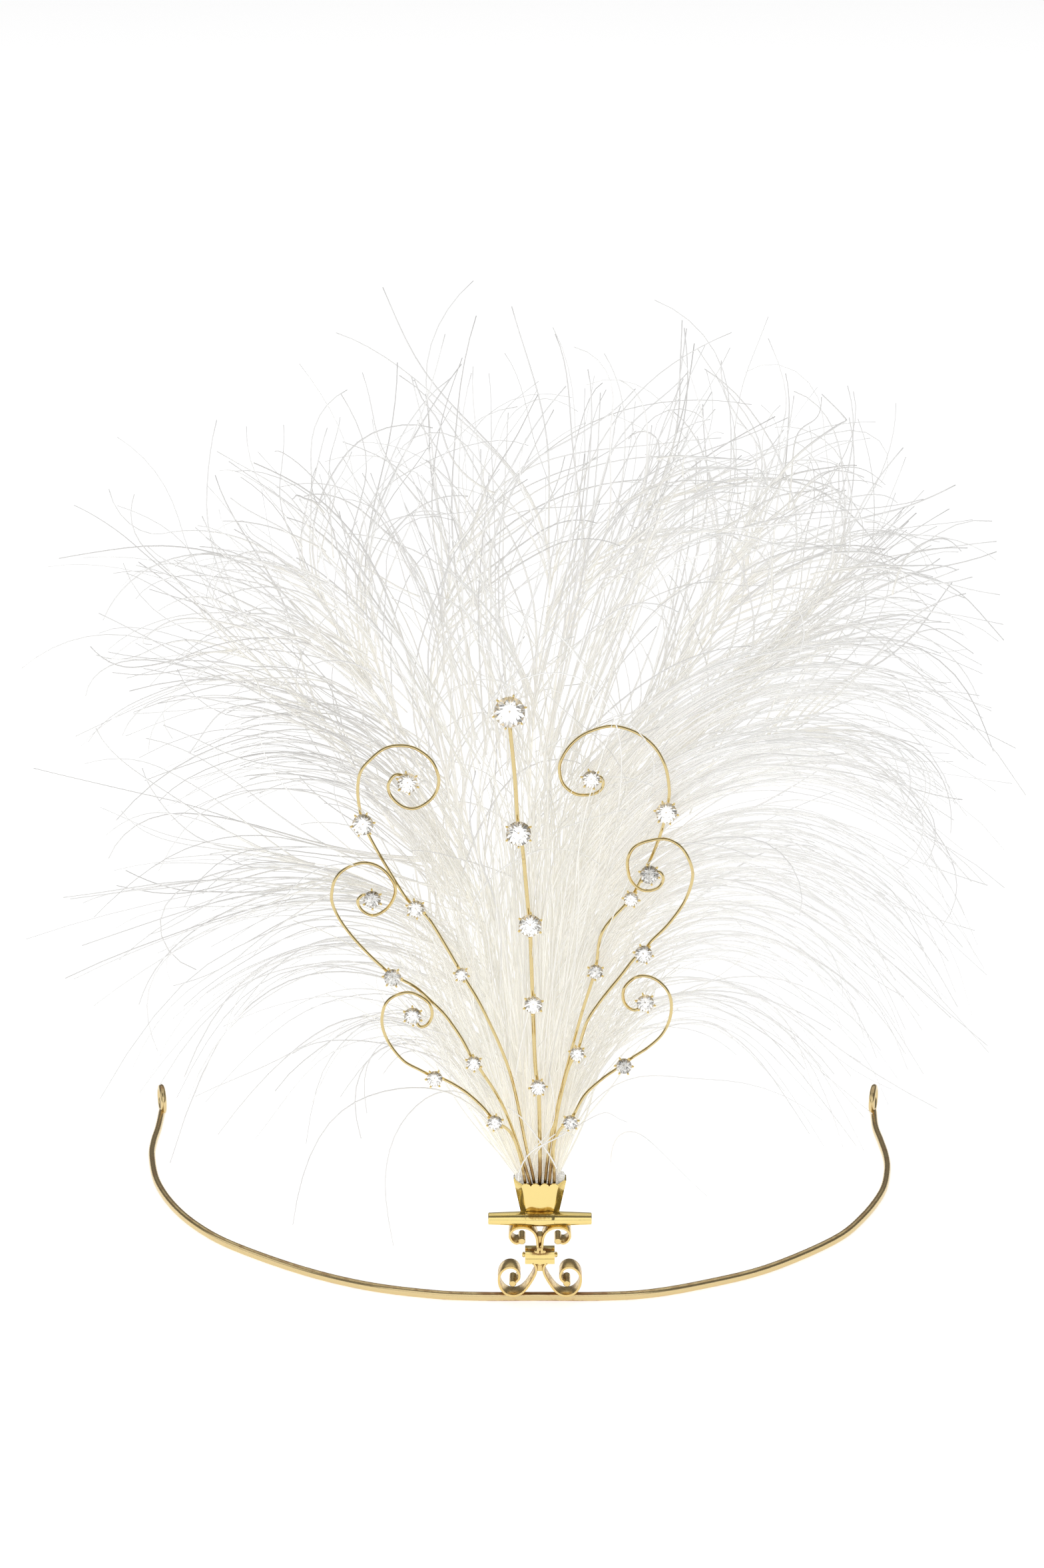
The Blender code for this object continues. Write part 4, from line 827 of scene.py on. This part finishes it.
def make_cup():
    """Sheet cup: an eight-sided flare, its front dished under a curved line and scalloped at the rim."""
    across = 12 * SCALLOPS
    half_w, half_d = CUP_BASE_WIDTH / 2, CUP_BASE_DEPTH / 2
    front, side = CUP_FRONT * half_w, CUP_SIDE * half_d
    outline = [(-front + 2 * front * i / across, -half_d) for i in range(across + 1)]
    outline += [(half_w, -side), (half_w, side), (front, half_d), (-front, half_d), (-half_w, side),
                (-half_w, -side)]
    bm = bmesh.new()
    face = bm.faces.new([bm.verts.new((x, CUP_SETBACK + y, CUP_BASE_Z)) for x, y in outline])
    levels = [0.035 * i for i in range(21)] + [0.78, 1.0]
    size = (1.0, 1.0)
    shift = Matrix.Translation((0, CUP_SETBACK, 0))
    for below, share in zip(levels, levels[1:]):
        wanted = (1 + (CUP_RIM_WIDTH / CUP_BASE_WIDTH - 1) * share, 1 + (CUP_RIM_DEPTH / CUP_BASE_DEPTH - 1) * share)
        face = pulled(bm, face, below == 0)
        grow = Matrix.Diagonal((wanted[0] / size[0], wanted[1] / size[1], 1, 1))
        rise = Matrix.Translation((0, 0, CUP_HEIGHT * (share - below)))
        bmesh.ops.transform(bm, matrix=rise @ shift @ grow @ shift.inverted(), verts=face.verts)
        size = wanted
    dish_front(bm.verts)
    bmesh.ops.inset_individual(bm, faces=[face], thickness=CUP_WALL, use_even_offset=True)
    floor = pulled(bm, face)
    squeeze = shift @ Matrix.Diagonal((0.84, 0.66, 1, 1)) @ shift.inverted()
    bmesh.ops.transform(bm, matrix=Matrix.Translation((0, 0, FLOOR_Z - RIM_Z)) @ squeeze, verts=floor.verts)
    scallop_rim(bm.verts)
    bmesh.ops.triangulate(bm, faces=[f for f in bm.faces if len(f.verts) > 4])
    mesh = to_mesh(bm, "cup", 28)
    for f in mesh.polygons:
        if f.center.z > RIM_Z - 0.28 * CUP_HEIGHT:
            f.use_smooth = False
    piece("cup", mesh, "aigrette", CUP_GOLD, "holder")


# Sprays

def add_setting(bm, place, radius):
    """Open-backed collet with claws that end in beads over the girdle. Z is the stone's axis, z = 0 its girdle."""
    back = -0.9 * radius - STONE_GAP - CLAW_RADIUS * 1.6
    rim = -0.3 * radius - STONE_GAP
    wall = 1.4 * CLAW_RADIUS
    profile = [(0.36 * radius, back), (0.66 * radius + STONE_GAP, rim), (0.72 * radius + STONE_GAP, rim + 0.03 * MM),
               (0.72 * radius + wall + STONE_GAP, rim), (0.70 * radius + wall + STONE_GAP, rim - 0.12 * radius),
               (0.50 * radius, back + 0.2 * radius), (0.42 * radius, back), (0.36 * radius, back)]
    turn(bm, profile, place, 20)
    foot = CLAW_RADIUS + STONE_GAP
    for i in range(CLAWS):
        a = 2 * math.pi * i / CLAWS
        out = Vector((math.cos(a), math.sin(a), 0))
        line = [out * (0.62 * radius + foot) - UP * 0.5 * radius, out * (0.90 * radius + foot) - UP * 0.25 * radius,
                out * (radius + foot) + UP * 0.02 * radius,
                out * (radius + 0.75 * CLAW_RADIUS) + UP * (0.1 * radius + 0.6 * CLAW_RADIUS)]
        across = (place.to_3x3() @ Vector((-math.sin(a), math.cos(a), 0))).normalized()
        rod(bm, smooth_path([place @ p for p in line], 2), CLAW_RADIUS, 6, up=across)
        tip = place @ (out * (radius + 0.45 * CLAW_RADIUS) + UP * (0.1 * radius + 0.9 * CLAW_RADIUS))
        bmesh.ops.create_icosphere(bm, subdivisions=2, radius=1.25 * CLAW_RADIUS, matrix=Matrix.Translation(tip))


def cut_stone(place, radius):
    """Old cut: small table, high crown, deep back with a small flat at its point."""
    bm = bmesh.new()
    for size, height, sides, turned in ((0.50, 0.34, 8, 0.5), (0.74, 0.215, 8, 0), (0.97, 0.02, 16, 0.5),
                                        (0.97, -0.02, 16, 0.5), (0.60, -0.40, 8, 0.5), (0.07, -0.88, 8, 0)):
        for i in range(sides):
            a = 2 * math.pi * (i + turned) / sides
            bm.verts.new((size * radius * math.cos(a), size * radius * math.sin(a), height * radius))
    bmesh.ops.convex_hull(bm, input=bm.verts)
    bmesh.ops.dissolve_limit(bm, angle_limit=math.radians(1.0), verts=bm.verts, edges=bm.edges)
    bmesh.ops.transform(bm, matrix=place, verts=bm.verts)
    return bm


def add_attribute(mesh, name, domain, values):
    values = np.asarray(values, np.float32)
    mesh.attributes.new(name, "FLOAT", domain).data.foreach_set("value", values)


def make_spray(name, root, forward, wire_radius, path, stones, chance):
    """One wire from the floor of the cup to its last stone, its settings and its stones."""
    row = STEM_RADIUS if forward < 1 else 0
    guide = []
    for z in (FLOOR_Z + SOCKET_GAP, RIM_Z):
        width, depth = cup_width(z)
        guide.append((root * CUP_FRONT * (width / 2 - CUP_WALL), WIRE_Y + row + (CUP_RIM_DEPTH - depth) / 2, z))
    for i, (across, above) in enumerate(path):
        y = WIRE_Y - min(1.0, (i + 1) / 3) * forward * SPRAY_LAYER
        guide.append((across / 1000 * SPRAY_HEIGHT, y, RIM_Z + above / 1000 * SPRAY_HEIGHT))
    share = 6
    curve = smooth_path(guide, share)
    out = Vector((0, -math.cos(STONE_TILT), math.sin(STONE_TILT)))
    seat = out.to_track_quat("Z", "Y").to_matrix().to_4x4()
    wire, metal = bmesh.new(), bmesh.new()
    rod(wire, curve, wire_radius, 10)
    piece(name + "_wire", wire, "aigrette", WIRE_GOLD, name)
    for number, (index, size) in enumerate(stones, 1):
        radius = size * MM
        lift = 0.9 * radius + STONE_GAP + CLAW_RADIUS * 1.6 + 0.4 * wire_radius
        turned = Matrix.Rotation(chance.uniform(0, math.pi / 3), 4, "Z")
        place = Matrix.Translation(curve[(index + 2) * share] + out * lift) @ seat @ turned
        add_setting(metal, place, radius)
        node = f"{name.replace('spray', 'stone')}_{number}"
        mesh = to_mesh(cut_stone(place, radius), node + "_cut", 0)
        mesh.shade_flat()
        # random value per facet that picks its painted grey or painted glow
        add_attribute(mesh, "facet", "FACE", chance.random(len(mesh.polygons)))
        piece(node + "_cut", mesh, "aigrette", DIAMOND, node)
    if name == "spray_left_top":
        # small bead held beside the last stone
        bead = bmesh.new()
        side = place @ Matrix.Translation((1.25 * radius, -0.95 * radius, 0))
        bmesh.ops.create_icosphere(bead, subdivisions=3, radius=BEAD_RADIUS,
                                   matrix=Matrix.Translation(side.translation))
        # The bead takes the wrapping's painted fold shade and painted glow.
        piece("bead", to_mesh(bead, "bead", 0), "aigrette", WRAPPING, name)
    piece(name + "_claws", metal, "aigrette", CLAW_GOLD, name)


# Plume

def sheaf_lines(sheaf, chance, many=1.0):
    """Centre lines of the barbs of a sheaf, (barb, point, xyz) in millimetres."""
    count, near, far = sheaf[:3]
    count = max(2, int(count * many))
    share = (np.arange(count) + chance.random(count)) / count
    first, last = np.array(sheaf[3:], float).reshape(2, 4, 2)
    guide = first + (last - first) * share[:, None, None]
    loose = chance.random(count) < 0.30
    spread = np.array([2.0, 1.8, 2.2, 3.0])[None, :, None] * np.where(loose, 2.2, 1.0)[:, None, None]
    guide = guide + chance.normal(size=guide.shape) * spread
    depth = near + (far - near) * np.array([0, 0.35, 0.7, 1.0])
    depth = depth + chance.normal(size=(count, 4)) * np.array([0.5, 1.6, 3.0, 5.0])
    if max(first[0][1], last[0][1]) < 30:
        # these stand in the mouth of the cup
        guide[:, 0, 0] = np.clip(guide[:, 0, 0], -3.0, 3.0) * 0.95 + chance.normal(size=count) * 0.1
        guide[:, 0, 1] = RIM_Z / MM - 1.2
        depth[:, 0] = chance.uniform(0.6, 2.4, count)
    guide = np.stack([guide[..., 0], depth, guide[..., 1]], axis=-1)
    u = np.linspace(0, 1, BARB_POINTS)[None, :, None] * chance.uniform(0.6, 1.08, count)[:, None, None]
    g0, g1, g2, g3 = (guide[:, i, None, :] for i in range(4))
    lines = (1 - u) ** 3 * g0 + 3 * (1 - u) ** 2 * u * g1 + 3 * (1 - u) * u ** 2 * g2 + u ** 3 * g3
    # slow waves, and a hook near the tip of some
    phase = chance.uniform(0, 2 * math.pi, (count, 1, 3))
    wave = np.sin(u * chance.uniform(5, 13, (count, 1, 1)) + phase) - np.sin(phase)
    lines += wave * u * chance.uniform(0.2, 1.5, (count, 1, 1))
    hook = np.clip(u - 0.8, 0, 1) ** 2 * chance.normal(size=(count, 1, 3)) * np.array([60.0, 30.0, 60.0])
    return lines + hook


def clumped(values, chance, loose):
    """Each value of three neighbours alike, apart from a little."""
    values = np.repeat(values[: (len(values) + 2) // 3], 3, axis=0)[: len(values)]
    return values + chance.normal(0, loose, values.shape)


def feather_lines(spec, chance):
    """Centre lines of the barbs that leave a shaft on both sides, (barb, point, xyz) in millimetres."""
    count, length, opening, curl, droop, start, shaft = spec
    column = (count, 1)
    path = np.array([(p.x, p.z, p.y) for p in smooth_path(shaft)])
    at = np.clip(clumped(chance.uniform(start, 1.0, count), chance, 0.03), start, 0.999) * (len(path) - 1)
    low = np.floor(at).astype(int).clip(0, len(path) - 2)
    run = path[low + 1] - path[low]
    root = path[low] + run * (at - low)[:, None]
    heading = np.arctan2(run[:, 2], run[:, 0])[:, None]
    side = np.sign(clumped(chance.choice([-1.0, 1.0], count), chance, 0.3))[:, None]
    u = np.linspace(0, 1, BARB_POINTS)[None, :]
    bow = clumped(chance.normal(1.0, 0.6, column), chance, 0.12)
    leaving = opening * clumped(chance.uniform(0.3, 1.4, column), chance, 0.1)
    angle = heading + side * (leaving + curl * bow * u ** 1.3)
    angle = angle - droop * clumped(chance.uniform(0.3, 1.4, column), chance, 0.1) * np.cos(angle) * u ** 1.5
    depth = chance.uniform(0.05, 0.30, column)
    angle = angle + depth * np.sin(u * chance.uniform(4, 9, column) + chance.uniform(0, 6.3, column))
    angle = angle + np.clip(u - 0.7, 0, 1) * chance.normal(0, 2.2, column)
    step = length * chance.uniform(0.5, 1.1, column) / (BARB_POINTS - 1)
    outwards = chance.normal(0.10, 0.22, column) * step * (0.5 + u)
    move = np.stack([np.cos(angle) * step, outwards, np.sin(angle) * step], axis=-1)
    move[:, 0] = 0
    return root[:, None, :] + np.cumsum(move, axis=1)


def trimmed(lines, chance):
    """Barbs that would run out of the fan are made shorter about their roots."""
    away = lines[..., [0, 2]] - np.array(FAN_CENTRE)
    angle = (np.degrees(np.arctan2(away[..., 1], away[..., 0])) + 90) % 360 - 90
    reach = np.interp(angle, *np.array(FAN, float).T) * chance.uniform(0.88, 1.05, (len(lines), 1))
    outside = np.hypot(away[..., 0], away[..., 1]) > reach
    outside |= (lines[..., 2] < LOWEST) | (lines[..., 1] < FOREMOST)
    first = np.where(outside.any(axis=1), outside.argmax(axis=1), lines.shape[1] - 1)
    keep = first > 3
    share = (first / (lines.shape[1] - 1))[keep, None, None]
    root = lines[keep][:, :1]
    return root + (lines[keep] - root) * share


def strands(name, lines, radius, material, chance, shade=1.0, tip=0.5):
    """Thin three-sided strands along the centre lines; shade is how far the greyest goes towards the painted shade
    colour.
    """
    lines = trimmed(lines, chance)
    count, points = lines.shape[:2]
    lines = lines * MM
    along = np.gradient(lines, axis=1)
    along /= np.linalg.norm(along, axis=2, keepdims=True)
    side = np.cross(along, np.array([0.0, 1.0, 0.0]))
    side /= np.linalg.norm(side, axis=2, keepdims=True) + 1e-9
    other = np.cross(along, side)
    share = np.linspace(0, 1, points)
    taper = (1 - (1 - tip) * share ** 1.5)[None, :, None]
    size = radius * chance.uniform(0.6, 1.3, (count, 1, 1)) * taper
    corners = [2 * math.pi * i / 3 for i in (2, 1, 0)]
    rings = np.stack([lines + size * (math.cos(a) * side + math.sin(a) * other) for a in corners], axis=2)
    rings = rings.transpose(1, 0, 2, 3).reshape(points, -1, 3)
    # each barb's tone picks at random how much of the painted shade colour it takes
    tones = shade * chance.random(count) ** 1.3
    bm = bmesh.new()
    spot = bm.verts.layers.int.new("spot")
    for key in ("tone", "along"):
        bm.verts.layers.float.new(key)
    tone, run = (bm.verts.layers.float[key] for key in ("tone", "along"))
    verts = [bm.verts.new(p) for p in rings[0]]
    for i, v in enumerate(verts):
        v[spot], v[tone] = i, tones[i // 3]
    roots = [verts[i:i + 3] for i in range(0, len(verts), 3)]
    faces = [bm.faces.new(root) for root in roots]
    # all the strands grow by one point at a time
    for ring, reached in zip(rings[1:], share[1:]):
        faces = bmesh.ops.extrude_discrete_faces(bm, faces=faces)["faces"]
        for face in faces:
            for v in face.verts:
                v.co = ring[v[spot]]
                v[run] = reached
    for root in roots:
        bm.faces.new(root[::-1])
    bm.verts.layers.int.remove(spot)
    piece(name, to_mesh(bm, name, 0), "aigrette", material, "plume")


def make_plume():
    """Sheaves and feathers of barbs: left, core, high right and low right, and the feathers' shafts."""
    chance = np.random.default_rng(11)

    def sheaves(rows, many):
        return [sheaf_lines(row, chance, many) for row in rows]

    feathers = [feather_lines(spec, chance) for spec in FEATHERS]
    # the number after chance in the strands calls limits how much painted shade a group's barbs take
    left = sheaves(SHEAVES[:10], 0.26) + sheaves(SHEAVES[10:16], 0.42) + feathers[:5]
    strands("plume_left", np.concatenate(left), BARB_RADIUS, BARB, chance)
    core = sheaves(SHEAVES[16:21], 0.8)
    strands("plume_core", np.concatenate(core), 0.85 * BARB_RADIUS, CORE_BARB, chance, 0.9)
    high = sheaves(SHEAVES[21:29], 0.3) + feathers[5:]
    strands("plume_right_high", np.concatenate(high), BARB_RADIUS, BARB, chance, 0.8)
    low = sheaves(SHEAVES[29:], 0.42)
    strands("plume_right_low", np.concatenate(low), 0.9 * BARB_RADIUS, BARB, chance, 0.3)
    bm = bmesh.new()
    for *_, line in FEATHERS:
        path = smooth_path([(x * MM, y * MM, z * MM) for x, z, y in line])
        scales = [1 - 0.72 * i / (len(path) - 1) for i in range(len(path))]
        rod(bm, path, SHAFT_RADIUS, 6, scales)
    mesh = to_mesh(bm, "plume_shafts")
    for key, value in (("tone", 0.0), ("along", 0.4)):
        add_attribute(mesh, key, "POINT", np.full(len(mesh.vertices), value))
    piece("plume_shafts", mesh, "aigrette", SHAFT, "plume")


def make_wrapping():
    """Crinkled wrapping that fills the mouth of the cup and stands out of its corners."""
    chance = np.random.default_rng(5)
    bm = bmesh.new()
    # places from the middle of the rim in millimetres, and half sizes
    lumps = [((0, 0.3, -0.9), (3.6, 1.7, 0.7)), ((-3.9, 0.2, 0.1), (0.8, 1.2, 0.9)),
             ((3.9, 0.2, 0.1), (0.8, 1.2, 0.9)), ((3.1, 1.3, 0.2), (0.9, 0.7, 0.8)),
             ((-3.1, 1.2, 0.1), (0.9, 0.7, 0.7))]
    for (x, y, z), size in lumps:
        centre = Vector((x * MM, CUP_SETBACK + y * MM, RIM_Z + z * MM))
        place = Matrix.Translation(centre) @ Matrix.Diagonal((*size, 1))
        made = bmesh.ops.create_icosphere(bm, subdivisions=5, radius=MM, matrix=place)
        shift = Vector(chance.uniform(-9, 9, 3))
        for v in made["verts"]:
            fold = 1 - abs(noise.noise(v.co / (0.55 * MM) + shift)) * 2.4
            crease = 1 - abs(noise.noise(v.co / (0.22 * MM) + shift)) * 2.0
            v.co += (v.co - centre) * (0.34 * fold + 0.16 * crease - 0.25)
    piece("wrapping", to_mesh(bm, "wrapping", 0), "aigrette", WRAPPING, "plume")


# Stage

def make_floor():
    """Sheet of pale paper that the piece stands on."""
    mat, tree, shader = new_material("paper")
    grain = clouds(tree, object_place(tree), 300.0, 3.0)
    feed(shader, {"Base Color": mixed(tree, grain, (0.90, 0.90, 0.90), (0.93, 0.93, 0.93)), "Roughness": 0.9,
                  "Specular IOR Level": 0.1, "Emission Color": (1, 1, 1, 1), "Emission Strength": PAPER})
    bm = bmesh.new()
    bmesh.ops.create_grid(bm, x_segments=1, y_segments=1, size=6.0)
    mesh = to_mesh(bm, "floor", 0)
    mesh.materials.append(mat)
    floor = bpy.data.objects.new("floor", mesh)
    bpy.context.scene.collection.objects.link(floor)


def add_light(name, place, target, size, power):
    light = bpy.data.lights.new(name, "AREA")
    light.shape = "RECTANGLE"
    light.size, light.size_y = size
    light.energy = power
    obj = bpy.data.objects.new(name, light)
    obj.location = place
    obj.rotation_euler = (Vector(target) - Vector(place)).to_track_quat("-Z", "Y").to_euler()
    bpy.context.scene.collection.objects.link(obj)


def light_scene():
    """Soft boxes overhead and in front, with a dim room between them that metal shows as dark lines."""
    world = bpy.data.worlds.new("studio")
    bpy.context.scene.world = world
    world.use_nodes = True
    feed(world.node_tree.nodes["Background"], {"Color": (1, 1, 1, 1), "Strength": ROOM})
    middle = (0, 0.02, 0.08)
    add_light("overhead", (0.0, 0.40, 0.95), (0, 0.10, 0.0), (1.8, 1.5), 4.5)
    add_light("front", (-0.1, -1.35, 0.62), middle, (1.7, 1.1), 6.0)
    add_light("left", (-1.2, -0.2, 0.5), middle, (0.7, 0.8), 1.5)


def place_camera():
    bpy.context.scene.view_settings.view_transform = "Standard"
    data = bpy.data.cameras.new("camera")
    data.lens = LENS
    data.sensor_fit = "VERTICAL"
    data.sensor_height = 36.0
    camera = bpy.data.objects.new("camera", data)
    camera.location = CAMERA_PLACE
    camera.rotation_euler = (CAMERA_PITCH, 0, 0)
    bpy.context.scene.collection.objects.link(camera)
    bpy.context.scene.camera = camera


make_band()
make_lower_scrolls()
make_leaf()
make_pin()
make_hinge_block()
make_upper_scrolls()
make_tube()
make_cup()
fate = np.random.default_rng(3)
for spray_name, spray in SPRAYS.items():
    make_spray(spray_name, *spray, fate)
make_wrapping()
make_plume()
make_floor()
light_scene()
place_camera()
